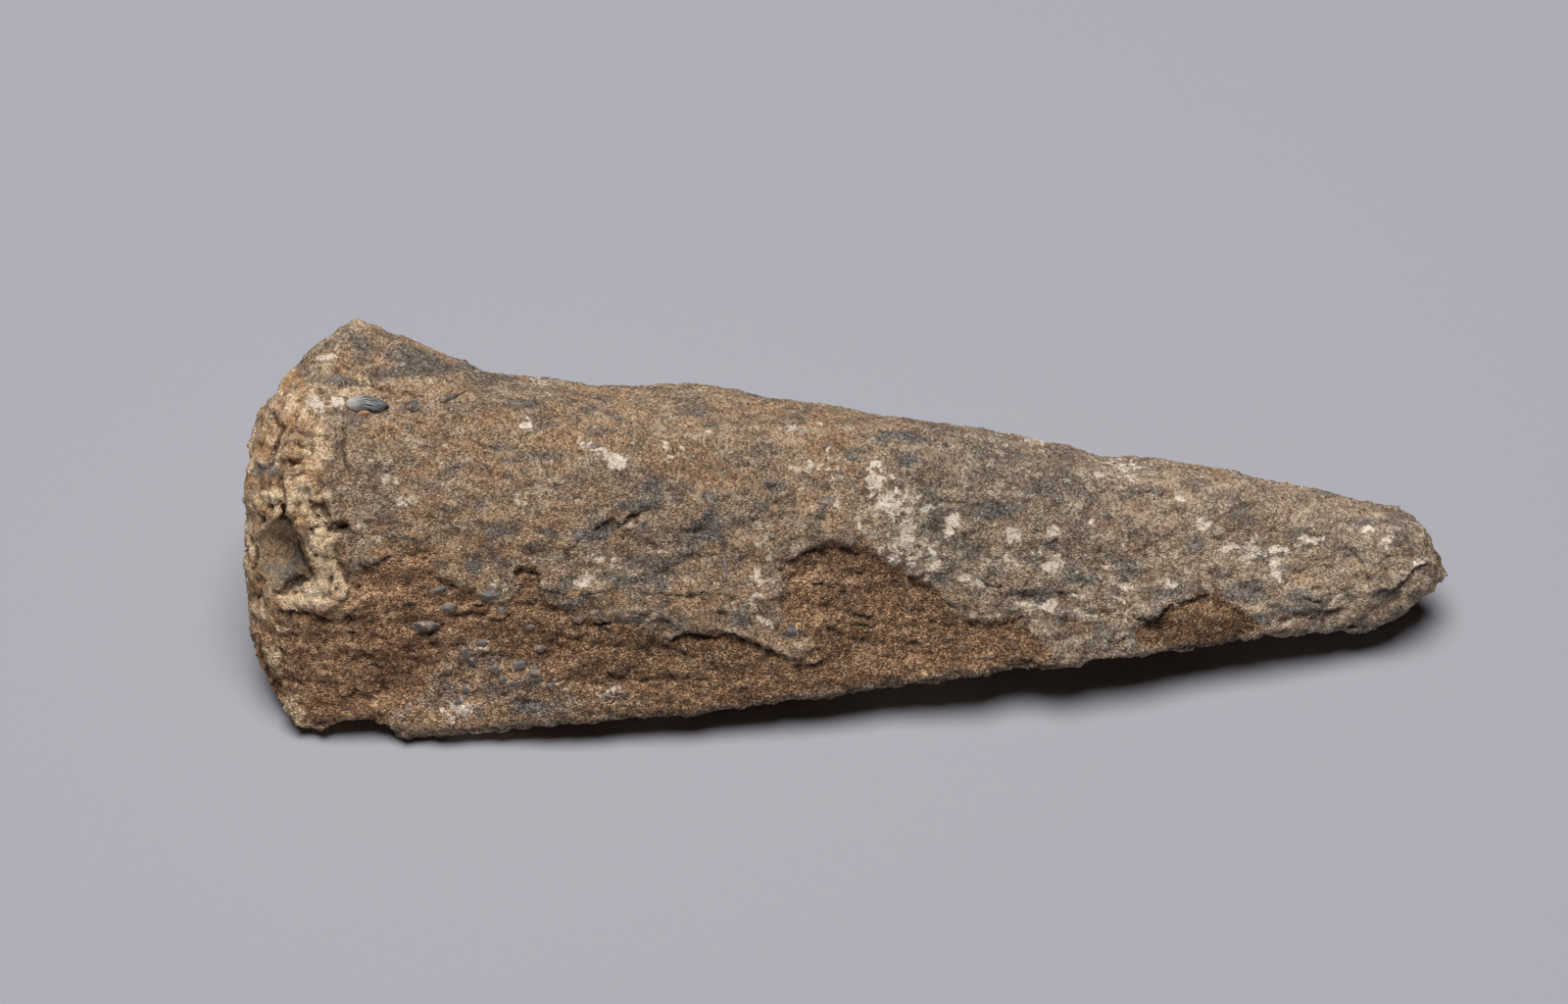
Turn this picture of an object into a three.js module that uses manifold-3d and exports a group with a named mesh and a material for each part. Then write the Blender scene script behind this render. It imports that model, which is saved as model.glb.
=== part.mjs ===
// A fossil tooth: one long, tapering stone, lying on its side with its broken root end at -X and its tip
// at +X. It is one solid. A row of cross-sections runs from end to end and is roughened as weathered stone
// is, then the hollows of the broken end, the notch under it, the bevel of the tip and the flat that it
// lies on are cut away.
// Units are millimetres and +Z is up. The origin is on the bench, under the middle of the stone's box.

import * as THREE from 'three';
import { mergeVertices } from 'three/addons/utils/BufferGeometryUtils.js';
import { ImprovedNoise } from 'three/addons/math/ImprovedNoise.js';
import Module from 'manifold-3d';

const wasm = await Module();
wasm.setup();

// ---------------------------------------------------------------- driving dimensions

const ROOT_X = -75;          // furthest point of the broken root end
const ROOT_RIM_X = -62.5;    // where the broken end turns into the side of the stone
const NOSE_RIM_X = 65.5;     // where the side starts to close over the tip
const NOSE_X = 73.9;         // furthest point of the rounded tip, without its small point

const RING_POINTS = 58;      // points round each cross-section
const BODY_RINGS = 48;
const ROOT_RINGS = 8;
const NOSE_RINGS = 6;

// How bluntly the two ends close over: 1 is half an oval, and less is flatter.
const ROOT_BLUNTNESS = 0.8;
const NOSE_BLUNTNESS = 0.95;

const FLAT_DEPTH = 0.9;      // how much of the belly is worn away to the flat that it lies on

const WELD = 1e-4;           // points closer than this are one
const BALL_DETAIL = 4;       // how finely a scoop is faceted
const CUTTER_SIZE = 240;     // longer than the stone, so that a cut goes right through

// The small point that stands out of the tip: a rough, blunt cone that leans down a little.
const POINT = { tip: 0.9, foot: 2.3, length: 4.6, sides: 7, droop: 18, at: [72.9, -2.8, 7.2] };

// How the stone runs from its root rim to its nose rim: half its width, its height, the sideways place of its
// middle, how far its belly is off the bench, how far its front foot stands out and up from the belly, and how
// far its front wall leans back.
const STATIONS = [
  { x: -62.5, halfWidth: 22.4, height: 37.0, middle: -2.2, lift: 0.0, foot: 0.1, lean: 5.0 },
  { x: -52.0, halfWidth: 23.0, height: 36.0, middle: -2.1, lift: 0.0, foot: 0.2, lean: 5.5 },
  { x: -44.0, halfWidth: 22.9, height: 35.0, middle: -1.8, lift: 0.0, foot: 1.1, lean: 5.5 },
  { x: -32.0, halfWidth: 21.3, height: 32.4, middle: -1.4, lift: 0.0, foot: 3.0, lean: 4.5 },
  { x: -20.0, halfWidth: 21.8, height: 30.5, middle: 0.0, lift: 0.0, foot: 3.2, lean: 3.0 },
  { x: -7.5, halfWidth: 19.8, height: 28.5, middle: -0.3, lift: 0.2, foot: 4.3, lean: 1.5 },
  { x: 5.0, halfWidth: 17.5, height: 26.4, middle: -0.1, lift: 0.6, foot: 5.1, lean: 0.5 },
  { x: 17.0, halfWidth: 15.3, height: 24.1, middle: -0.1, lift: 0.9, foot: 6.3, lean: 0.0 },
  { x: 29.0, halfWidth: 13.6, height: 20.9, middle: -0.8, lift: 1.6, foot: 6.5, lean: 0.0 },
  { x: 41.5, halfWidth: 11.1, height: 19.0, middle: -0.5, lift: 2.4, foot: 5.0, lean: 0.0 },
  { x: 54.0, halfWidth: 9.5, height: 16.1, middle: -1.4, lift: 2.8, foot: 4.0, lean: 0.0 },
  { x: 65.5, halfWidth: 8.9, height: 13.2, middle: -2.3, lift: 3.2, foot: 0.3, lean: 0.0 },
];

// The cross-section, as shares of the half width (across) and of the height (up). -Y is the worn front.
const SECTION = [
  [-1.0, 0.06], // front foot
  [-0.95, 0.2],
  [-0.82, 0.52], // front wall
  [-0.52, 0.83],
  [-0.05, 1.0], // crown
  [0.48, 0.88],
  [0.88, 0.54], // back wall
  [0.98, 0.27],
  [0.76, 0.09], // back foot
  [0.4, 0.03],
  [-0.15, 0.0], // belly
  [-0.65, 0.02],
];
const FOOT_RISE = 0.75; // the share of the height over which the front foot's standing out fades
const SECTION_CORE = [-0.12, 0.38]; // the point that the closing rings shrink towards

// ---------------------------------------------------------------- shape helpers

const noise = new ImprovedNoise();

// Perlin noise with features about size millimetres across, between about -1 and 1.
const grain = (p, size, seed) => noise.noise(p.x / size + seed, p.y / size - seed, p.z / size + 2 * seed);

// 1 at the middle of an oval region and 0 outside it, falling off smoothly.
function oval(p, { at, reach }) {
  const distance = Math.hypot((p.x - at[0]) / reach[0], (p.y - at[1]) / reach[1], (p.z - at[2]) / reach[2]);
  const share = Math.max(0, 1 - distance);
  return share * share * (3 - 2 * share);
}

function solidOf(geometry) {
  const bare = geometry.clone();
  bare.deleteAttribute('normal');
  bare.deleteAttribute('uv');
  const merged = mergeVertices(bare, WELD);
  return new wasm.Manifold(
    new wasm.Mesh({
      numProp: 3,
      vertProperties: merged.attributes.position.array,
      triVerts: new Uint32Array(merged.index.array),
    }),
  );
}

function geometryOf(solid) {
  const mesh = solid.getMesh();
  const geometry = new THREE.BufferGeometry();
  geometry.setAttribute('position', new THREE.BufferAttribute(mesh.vertProperties, 3));
  geometry.setIndex(new THREE.BufferAttribute(mesh.triVerts, 1));
  return geometry;
}

// ---------------------------------------------------------------- the tapering body

const sectionCurve = new THREE.CatmullRomCurve3(
  SECTION.map(([across, up]) => new THREE.Vector3(0, across, up)),
  true,
  'centripetal',
);
const sectionPoints = sectionCurve.getSpacedPoints(RING_POINTS).slice(0, RING_POINTS);

const taper = new THREE.CubicInterpolant(
  STATIONS.map((s) => s.x),
  STATIONS.flatMap((s) => [s.halfWidth, s.height, s.middle, s.lift, s.foot, s.lean]),
  6,
);

// One closed cross-section at x. size under 1 shrinks it towards its core, where the ends close over.
function ring(x, size = 1) {
  const along = THREE.MathUtils.clamp(x, ROOT_RIM_X, NOSE_RIM_X);
  const [halfWidth, height, middle, lift, foot, lean] = taper.evaluate(along);
  return sectionPoints.map(({ y, z }) => {
    const across = SECTION_CORE[0] + size * (y - SECTION_CORE[0]);
    const up = SECTION_CORE[1] + size * (z - SECTION_CORE[1]);
    const frontness = Math.max(0, -across);
    const out = foot * frontness * Math.max(0, 1 - up / FOOT_RISE);
    const back = lean * frontness * up;
    return new THREE.Vector3(x, middle + halfWidth * across - out + back, lift + height * up + out);
  });
}

// The rings from the root's furthest point to the tip's, and the two points that close them.
function skeleton() {
  const rings = [];
  for (let i = 1; i <= ROOT_RINGS; i++) {
    const turn = (i / (ROOT_RINGS + 1)) * (Math.PI / 2);
    rings.push(ring(ROOT_RIM_X - (ROOT_RIM_X - ROOT_X) * Math.cos(turn), Math.sin(turn) ** ROOT_BLUNTNESS));
  }
  for (let i = 0; i <= BODY_RINGS; i++) {
    rings.push(ring(ROOT_RIM_X + (i / BODY_RINGS) * (NOSE_RIM_X - ROOT_RIM_X)));
  }
  for (let i = NOSE_RINGS; i >= 1; i--) {
    const turn = (i / (NOSE_RINGS + 1)) * (Math.PI / 2);
    rings.push(ring(NOSE_RIM_X + (NOSE_X - NOSE_RIM_X) * Math.cos(turn), Math.sin(turn) ** NOSE_BLUNTNESS));
  }
  const middleOf = (points, x) => {
    const middle = points.reduce((sum, p) => sum.add(p), new THREE.Vector3()).divideScalar(points.length);
    return middle.setX(x);
  };
  return { rings, rootPole: middleOf(rings[0], ROOT_X), nosePole: middleOf(rings.at(-1), NOSE_X) };
}

// The skin of the rings as an indexed geometry with its faces pointing out.
function skinOf({ rings, rootPole, nosePole }) {
  const points = [rootPole, ...rings.flat(), nosePole];
  const index = [];
  const at = (r, i) => 1 + r * RING_POINTS + (i % RING_POINTS);
  for (let i = 0; i < RING_POINTS; i++) {
    index.push(0, at(0, i), at(0, i + 1));
    for (let r = 0; r + 1 < rings.length; r++) {
      index.push(at(r, i), at(r + 1, i), at(r + 1, i + 1), at(r, i), at(r + 1, i + 1), at(r, i + 1));
    }
    index.push(points.length - 1, at(rings.length - 1, i + 1), at(rings.length - 1, i));
  }
  const geometry = new THREE.BufferGeometry().setFromPoints(points);
  geometry.setIndex(index);
  geometry.computeVertexNormals();
  return geometry;
}

// ---------------------------------------------------------------- weathering

// Swellings (height over 0) and worn places (under 0), in millimetres along the surface's normal.
const SWELLINGS = [
  { at: [-57.5, 10.5, 32], reach: [15, 12, 15], height: 4.4 }, // the root's flared shoulder
  { at: [-60.3, 12, 34], reach: [6, 8, 8], height: 3.6 }, // the shoulder's peak
  { at: [-69, 4, 29], reach: [9, 12, 10], height: 0.5 }, // its corner
  { at: [-50, -6, 35], reach: [26, 9, 9], height: -1.0 }, // the dip that sets the shoulder off
  { at: [-30, 2, 0], reach: [22, 11, 8], height: -1.6 }, // a hollow in the belly
  { at: [-24, 14, 24], reach: [20, 10, 12], height: 0.9 },
  { at: [2, -14, 12], reach: [24, 12, 13], height: -1.3 }, // the scar under the front's broken skin
  { at: [-42, -21, 9], reach: [34, 10, 12], height: -0.7 },
  { at: [30, 8, 18], reach: [18, 10, 12], height: 0.8 },
  { at: [12, 16, 10], reach: [26, 9, 9], height: -1.2 }, // a flake lost from the back
  { at: [-46, 22, 14], reach: [18, 9, 14], height: -1.4 },
  { at: [48, 9, 8], reach: [14, 8, 7], height: -0.7 },
];

const ROUGHNESS = [
  { size: 21, height: 1.0, seed: 3.1 },
  { size: 9, height: 0.55, seed: 7.7 },
  { size: 4.2, height: 0.25, seed: 12.3 },
];

function weather(geometry) {
  const { position, normal } = geometry.attributes;
  const p = new THREE.Vector3();
  const n = new THREE.Vector3();
  for (let i = 0; i < position.count; i++) {
    p.fromBufferAttribute(position, i);
    n.fromBufferAttribute(normal, i);
    const swelling = SWELLINGS.reduce((sum, s) => sum + s.height * oval(p, s), 0);
    const rough = ROUGHNESS.reduce((sum, r) => sum + r.height * grain(p, r.size, r.seed), 0);
    p.addScaledVector(n, swelling + rough);
    position.setXYZ(i, p.x, p.y, p.z);
  }
  return geometry;
}

// ---------------------------------------------------------------- what is cut away

// A faceted ball, stretched to the half sizes in reach and tilted about X by so many degrees.
function scoop({ at, reach, tilt }) {
  const ball = new THREE.IcosahedronGeometry(1, BALL_DETAIL);
  ball.scale(...reach);
  ball.rotateX(THREE.MathUtils.degToRad(tilt));
  ball.translate(...at);
  return solidOf(ball);
}

// The hollows of the broken end and the notch in the front foot.
const HOLLOWS = [
  { at: [-71.8, -16.2, 24.8], reach: [6.2, 5.4, 5.2], tilt: -30 }, // the mouth of the pulp cavity
  { at: [-68.6, -18.0, 21.6], reach: [4.0, 3.6, 4.2], tilt: -20 }, // its lower pocket
  { at: [-77.6, -15.5, 7.5], reach: [4.4, 4.6, 5.2], tilt: 0 }, // the shell-shaped break under it
  { at: [-60.6, -23.6, 0.6], reach: [5.0, 5.0, 3.3], tilt: 0 }, // the notch in the foot
];

// A block whose face passes through at and looks back along -out: everything beyond it goes.
function beyond({ at, out }) {
  const block = new THREE.BoxGeometry(CUTTER_SIZE, CUTTER_SIZE, CUTTER_SIZE);
  block.translate(0, 0, CUTTER_SIZE / 2);
  const turn = new THREE.Quaternion();
  turn.setFromUnitVectors(new THREE.Vector3(0, 0, 1), new THREE.Vector3(...out).normalize());
  block.applyQuaternion(turn);
  block.translate(...at);
  return solidOf(block);
}

// Broken or worn faces: a point on each and the way it looks.
const CHIPS = [
  { at: [70.5, -6.9, 6.4], out: [0.55, -0.62, -0.56] }, // the bevel under the tip
  { at: [65.6, 5.1, 13.2], out: [0.5, 0.75, 0.42] }, // a small facet behind the tip
  { at: [0, 0, FLAT_DEPTH], out: [0, 0, -1] }, // the flat that it lies on
];

function point() {
  const cone = new THREE.CylinderGeometry(POINT.tip, POINT.foot, POINT.length, POINT.sides);
  cone.rotateZ(-Math.PI / 2);
  cone.rotateY(THREE.MathUtils.degToRad(POINT.droop));
  cone.translate(...POINT.at);
  return solidOf(cone);
}

// ---------------------------------------------------------------- the stone

function stone() {
  let solid = solidOf(weather(skinOf(skeleton()))).add(point());
  for (const hollow of HOLLOWS) solid = solid.subtract(scoop(hollow));
  for (const chip of CHIPS) solid = solid.subtract(beyond(chip));

  const geometry = geometryOf(solid);
  geometry.computeBoundingBox();
  const { min, max } = geometry.boundingBox;
  geometry.translate(-(min.x + max.x) / 2, -(min.y + max.y) / 2, -min.z);
  geometry.computeVertexNormals();
  return geometry;
}

const toothFossil = new THREE.Mesh(
  stone(),
  new THREE.MeshStandardMaterial({ color: 0x85705a, roughness: 0.95, metalness: 0 }),
);
toothFossil.name = 'tooth_fossil';

const part = new THREE.Group();
part.add(toothFossil);
export default part;
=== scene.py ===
# %% [markdown]
# # A fossil tooth in sandy stone
# This lesson dresses a plain CAD model as a real fossil: a long tooth with its root, turned to stone, with
# sand still stuck to it. The CAD model gives the size and the outline. Everything that makes stone look like
# stone is added here: broken ledges, cracks, grains, stains, bits of slate and a piece of shell.

import itertools
import math

import bpy
import numpy as np
from mathutils import Matrix, Vector
from mathutils.bvhtree import BVHTree


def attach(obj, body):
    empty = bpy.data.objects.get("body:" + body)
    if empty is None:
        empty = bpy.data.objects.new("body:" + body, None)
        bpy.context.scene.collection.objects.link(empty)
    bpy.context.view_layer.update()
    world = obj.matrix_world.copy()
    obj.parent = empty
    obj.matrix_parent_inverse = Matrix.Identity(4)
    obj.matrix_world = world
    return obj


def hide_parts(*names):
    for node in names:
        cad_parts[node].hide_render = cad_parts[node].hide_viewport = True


MM = 0.001  # Blender works in metres here, and most sizes below are easier to read in millimetres

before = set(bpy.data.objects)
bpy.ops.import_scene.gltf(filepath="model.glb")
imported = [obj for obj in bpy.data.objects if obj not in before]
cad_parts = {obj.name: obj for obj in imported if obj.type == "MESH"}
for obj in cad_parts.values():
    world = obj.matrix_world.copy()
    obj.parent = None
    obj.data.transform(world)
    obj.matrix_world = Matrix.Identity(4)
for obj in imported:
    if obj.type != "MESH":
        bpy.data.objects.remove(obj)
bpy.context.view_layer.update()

# %% [markdown]
# ## The camera
# The camera comes first, because many marks on the stone are easiest to place as we see them: so far across
# the camera's view and so far down. It looks along +Y and down at 45 degrees. A long lens keeps the stone
# free of distortion. `axes` holds the camera's right, up and backward directions, which are also what is
# needed to work out where a point of the stone lands in the view.

# %% The camera
VIEW = np.array((1600, 1024))  # the width and height of the camera's view, in pixels
LENS, SENSOR = 100.0, 36.0
AIM = Vector((-8.5, 8.8, 10.0)) * MM
DISTANCE = 548.4 * MM
ELEVATION = math.radians(45)
ROLL = math.radians(-0.33)

backward = Vector((0, -math.cos(ELEVATION), math.sin(ELEVATION)))
level = Vector((1, 0, 0))
upright = backward.cross(level)
right = level * math.cos(ROLL) + upright * math.sin(ROLL)
up = upright * math.cos(ROLL) - level * math.sin(ROLL)
axes = np.array((right, up, backward))
eye = np.array(AIM + backward * DISTANCE)

camera_data = bpy.data.cameras.new("camera")
camera_data.lens, camera_data.sensor_width = LENS, SENSOR
camera_data.clip_start, camera_data.clip_end = 10 * MM, 10
camera = bpy.data.objects.new("camera", camera_data)
camera.matrix_world = Matrix.Translation(Vector(eye)) @ Matrix(axes.T.tolist()).to_4x4()
bpy.context.collection.objects.link(camera)
bpy.context.scene.camera = camera

PIXELS_PER_SLOPE = LENS / SENSOR * VIEW[0]  # how far from the middle a line of sight with slope 1 lands
MM_PER_PIXEL = DISTANCE / PIXELS_PER_SLOPE / MM


def seen_at(points):
    """Where points (in metres) land in the view, in pixels from its top left corner."""
    across, upward, back = ((points - eye) @ axes.T).T
    return np.stack((VIEW[0] / 2 - PIXELS_PER_SLOPE * across / back,
                     VIEW[1] / 2 + PIXELS_PER_SLOPE * upward / back), axis=1)


def sight_line(x, y):
    """The direction in which the camera sees the pixel x, y."""
    slope = ((x - VIEW[0] / 2) / PIXELS_PER_SLOPE, (VIEW[1] / 2 - y) / PIXELS_PER_SLOPE, -1)
    return Vector(np.array(slope) @ axes).normalized()


print("one pixel is", round(MM_PER_PIXEL, 4), "mm on the stone")

# %% [markdown]
# ## Working on one object at a time
# Blender's operators act on whatever is selected, and the loaded CAD parts start out selected. `pick` makes
# one object the only selected one, and `apply_modifier` adds a modifier, sets it up and applies it at once.

# %% Helpers for objects


def pick(obj):
    """Makes obj the only selected object, and the active one."""
    bpy.ops.object.select_all(action="DESELECT")
    obj.select_set(True)
    bpy.context.view_layer.objects.active = obj


def apply_modifier(obj, kind, **settings):
    """Adds a modifier, sets it up and applies it to the mesh."""
    pick(obj)
    modifier = obj.modifiers.new(kind.lower(), kind)
    for name, value in settings.items():
        setattr(modifier, name, value)
    bpy.ops.object.modifier_apply(modifier=modifier.name)


def corners(obj):
    """The vertex places of a mesh, as one array of rows."""
    places = np.empty(len(obj.data.vertices) * 3)
    obj.data.vertices.foreach_get("co", places)
    return places.reshape(-1, 3)


def normals(obj):
    """The way the surface faces at each vertex, as one array of rows."""
    directions = np.empty(len(obj.data.vertices) * 3)
    obj.data.vertex_normals.foreach_get("vector", directions)
    return directions.reshape(-1, 3)


def move_corners(obj, places):
    """Puts every vertex of a mesh at its new place."""
    obj.data.vertices.foreach_set("co", places.ravel())
    obj.data.update()


def store(obj, name, values):
    """Keeps one number for each corner, for the material to read."""
    attribute = obj.data.attributes.new(name, "FLOAT", "POINT")
    attribute.data.foreach_set("value", np.asarray(values, np.float32))


print("CAD solids to dress:", sorted(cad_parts))

# %% [markdown]
# ## Helpers that shape stone
# Weathered stone is rough at every scale, so the same few tools are used again and again. `lumps` is smooth
# random noise (Perlin's method: random slopes on a lattice, blended). `rubble` adds several sizes of it,
# `chips` gives each broken chip a height of its own, and `crevices` draws thin winding lines. `inside` tells
# how far a place is inside an outline drawn in the view, and `along` how far it is from a drawn line. Both
# give real millimetres, so a ledge or a crack can be given a real width.

# %% Helpers for noise and outlines


def step(low, high, value):
    """0 below low, 1 above high, and a smooth rise between them."""
    share = np.clip((value - low) / (high - low), 0, 1)
    return share * share * (3 - 2 * share)


def falloff(distance, width):
    """1 where the distance is 0, about a third at one width, and next to nothing at two."""
    return np.exp(-((distance / width) ** 2))


def lumps(points, size, seed, stretch=(1, 1, 1)):
    """Random values of about -1 to 1 in lumps about size millimetres across, longer along stretched axes."""
    random = np.random.default_rng(seed)
    order = np.tile(random.permutation(256), 2)
    slopes = random.normal(size=(256, 3))
    slopes /= np.linalg.norm(slopes, axis=1)[:, None]
    place = points / (size * MM * np.array(stretch))
    cell = np.floor(place).astype(int)
    share = place - cell
    blend = share**3 * (share * (share * 6 - 15) + 10)
    total = np.zeros(len(points))
    for corner in itertools.product((0, 1), repeat=3):
        x, y, z = ((cell + corner) & 255).T
        slope = slopes[order[order[order[x] + y] + z]]
        weight = np.where(corner, blend, 1 - blend).prod(axis=1)
        total += weight * (slope * (share - corner)).sum(axis=1)
    return total * 1.7


def rubble(points, size, seed, octaves=4, fade=0.55, stretch=(1, 1, 1)):
    """Noise of several sizes, each half as large and weaker by fade."""
    return sum(fade**i * lumps(points, size / 2**i, seed + i, stretch) for i in range(octaves))


def crevices(points, size, seed, thin=0.09):
    """1 along thin, broken, winding lines about size millimetres apart, 0 away from them."""
    lines = falloff(lumps(points, size, seed), thin)
    return lines * step(-0.2, 0.4, lumps(points, 0.8 * size, seed + 50))


def chips(points, size, seed, stretch=(1, 1, 1)):
    """Random values of -1 to 1 that jump from one chip to the next, each about size millimetres across."""
    random = np.random.default_rng(seed)
    order = np.tile(random.permutation(256), 2)
    jitter, level = random.uniform(0, 1, (256, 3)), random.uniform(-1, 1, 256)
    place = points / (size * MM * np.array(stretch))
    cell = np.floor(place).astype(int)
    share = place - cell
    nearest, value = np.full(len(points), np.inf), np.zeros(len(points))
    for offset in itertools.product((-1, 0, 1), repeat=3):
        x, y, z = ((cell + offset) & 255).T
        chip = order[order[order[x] + y] + z]
        away = ((jitter[chip] + offset - share) ** 2).sum(axis=1)
        closer = away < nearest
        nearest[closer], value[closer] = away[closer], level[chip[closer]]
    return value


def along(spots, path):
    """How far each place in the view is from a line drawn through the points of path, in millimetres."""
    nearest = np.full(len(spots), np.inf)
    for start, end in zip(np.array(path[:-1], float), np.array(path[1:], float)):
        run = end - start
        share = np.clip((spots - start) @ run / (run @ run), 0, 1)
        nearest = np.minimum(nearest, np.linalg.norm(spots - start - share[:, None] * run, axis=1))
    return nearest * MM_PER_PIXEL


def inside(spots, outline):
    """How far each place in the view is inside a closed outline, in millimetres, under 0 outside it."""
    ring = list(outline) + [outline[0]]
    crossings = np.zeros(len(spots), int)
    for (x0, y0), (x1, y1) in zip(ring[:-1], ring[1:]):
        spans = (spots[:, 1] < y0) != (spots[:, 1] < y1)
        meets = x0 + (spots[:, 1] - y0) * (x1 - x0) / ((y1 - y0) or 1)
        crossings += spans & (spots[:, 0] < meets)
    return np.where(crossings % 2, 1, -1) * along(spots, ring)


trial = lumps(np.random.default_rng(0).uniform(0, 100 * MM, (5000, 3)), size=5, seed=1)
print("in a cube of 100 mm, lumps runs from", round(trial.min(), 2), "to", round(trial.max(), 2))

# %% [markdown]
# ## The stone's first form
# The CAD solid is made of flat triangles a few millimetres across. A copy of it is welded, rebuilt as an even
# skin of small squares (a voxel remesh), smoothed until the facets are gone and subdivided. The CAD solid
# itself stays as it is, because it is what the physics uses.

# %% A smooth copy of the CAD stone
FIRST_SKIN = 0.9 * MM
WELD = 0.01 * MM

stone = bpy.data.objects.new("fossil_stone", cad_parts["tooth_fossil"].data.copy())
bpy.context.collection.objects.link(stone)
pick(stone)
bpy.ops.object.mode_set(mode="EDIT")
bpy.ops.mesh.select_all(action="SELECT")
bpy.ops.mesh.remove_doubles(threshold=WELD)
bpy.ops.object.mode_set(mode="OBJECT")
apply_modifier(stone, "REMESH", mode="VOXEL", voxel_size=FIRST_SKIN)
apply_modifier(stone, "SMOOTH", factor=0.5, iterations=6)
apply_modifier(stone, "SUBSURF", levels=1, render_levels=1)
print("first skin:", len(stone.data.polygons), "squares")

# %% [markdown]
# ## The map of the stone
# From the camera the stone shows a few kinds of surface. Most of it is the grey-brown **skin** that time has
# hardened. Low on the front a slab of skin has broken off, and the brown, crumbly **scar** under it shows,
# with a grey **crust** over part of it. The **root end** is broken too, and is buff and spongy as old bone
# is. The mouth of the pulp cavity and a smaller pocket open in it. Each is outlined as the camera sees it.
# The sides that aren't seen get scars of their own from noise.

# %% Outlines of the kinds of surface
SCAR = [(255, 636), (281, 624), (300, 621), (330, 622), (346, 629), (352, 612), (358, 599), (367, 584),
        (380, 572), (398, 566), (412, 556), (432, 551), (446, 562), (448, 588), (470, 600), (492, 604),
        (512, 613), (530, 601), (526, 584), (546, 577), (551, 592), (553, 604), (566, 616), (582, 623),
        (602, 632), (626, 635), (652, 640), (674, 649), (686, 653), (696, 645), (716, 642), (742, 645),
        (766, 653), (790, 665), (803, 673), (826, 663), (828, 650), (812, 640), (801, 625), (796, 606),
        (795, 590), (801, 570), (813, 562), (831, 554), (850, 551), (868, 556), (881, 562), (900, 570),
        (921, 577), (936, 587), (950, 600), (966, 615), (985, 632), (1001, 640), (1016, 636), (1036, 628),
        (1047, 633), (1052, 642), (1064, 652), (1076, 668), (1090, 690), (1060, 720), (700, 780), (240, 790)]
SMALL_SCAR = [(1156, 642), (1176, 633), (1185, 618), (1196, 614), (1211, 620), (1223, 609), (1241, 603),
              (1256, 612), (1271, 625), (1291, 640), (1282, 652), (1240, 662), (1196, 668), (1160, 660)]
GREY_CRUST = [(400, 728), (432, 708), (442, 690), (450, 668), (470, 652), (494, 660), (520, 668),
              (552, 676), (556, 698), (600, 710), (628, 702), (648, 714), (664, 735), (560, 750),
              (420, 765), (380, 760)]
ROOT_END = [(225, 640), (225, 370), (300, 370), (320, 392), (322, 418), (337, 446), (338, 482), (330, 502),
            (350, 528), (346, 552), (353, 580), (357, 604), (346, 629), (281, 624), (250, 636)]
PULP_CAVITY = [(262, 546), (278, 535), (287, 520), (293, 511), (299, 528), (304, 546), (313, 566),
               (319, 582), (319, 593), (304, 597), (290, 604), (272, 600), (261, 582)]
ROOT_POCKET = [(258, 650), (266, 655), (275, 672), (284, 699), (292, 719), (284, 714), (272, 694),
               (262, 672)]

print("points in the scar's outline:", len(SCAR), "and in the root end's:", len(ROOT_END))

# %% How far each corner is inside each kind
HIDDEN_ROOT = -63.5  # on the sides that aren't seen the root end begins here, in millimetres along X


def survey(obj):
    """For each corner of obj: its place, its place in the view, and how much it faces the camera."""
    points = corners(obj)
    toward = eye - points
    toward /= np.linalg.norm(toward, axis=1)[:, None]
    facing = step(-0.04, 0.12, (normals(obj) * toward).sum(axis=1))
    return points, seen_at(points), facing


def kinds(points, spots, facing):
    """How many millimetres each corner is inside the scars, the root end and the grey crust."""
    hidden_scar = 9 * rubble(points, 34, seed=41, octaves=3) - 1.5 - step(12, 26, points[:, 2] / MM) * 6
    seen_scar = np.maximum(inside(spots, SCAR), inside(spots, SMALL_SCAR))
    ragged = 0.7 * lumps(points, 4.5, 11) + 0.4 * lumps(points, 1.8, 12) + 0.25 * lumps(points, 0.9, 13)
    scar = facing * seen_scar + (1 - facing) * hidden_scar + ragged
    hidden_root = HIDDEN_ROOT - points[:, 0] / MM + 3 * lumps(points, 12, 14)
    uneven = 1.3 * lumps(points, 5, 17) + 0.8 * lumps(points, 2.6, 18)
    root = facing * inside(spots, ROOT_END) + (1 - facing) * hidden_root + 0.6 * ragged + uneven
    crust = facing * inside(spots, GREY_CRUST) - (1 - facing) * 4 + ragged
    return {"scar": scar, "root": root, "crust": crust}


points, spots, facing = survey(stone)
kind = kinds(points, spots, facing)
print("corners:", len(points), "seen:", int((facing > 0.5).sum()))
print("in scars:", int((kind["scar"] > 0).sum()), "on the root end:", int((kind["root"] > 0).sum()))

# %% [markdown]
# ## Sinking the scars and the hollows
# Where the skin broke off, the surface lies a little lower. The mouth of the tooth's pulp cavity is a hollow
# that deepens towards an overhanging lip. Sinking it along the line of sight, instead of along the surface's
# own direction, leaves the lip's edge exactly where it is seen. At the tip a small nib is drawn out again,
# because the smoothing has worn it down.

# %% The scars and hollows sink
SCAR_DEPTH = 0.4
PULP_DEPTH, POCKET_DEPTH = 3.0, 2.6
PULP_LIP = [(286, 512), (293, 511), (299, 528), (304, 546), (313, 566), (319, 582), (319, 593)]
LIP_REACH, LIP_RISE = 4.5, 0.85  # so many millimetres from its lip the cavity is this share shallower
NIB_LENGTH, NIB_WIDTH = 0.2, 1.2  # the small point that is left at the tip, in millimetres

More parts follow.
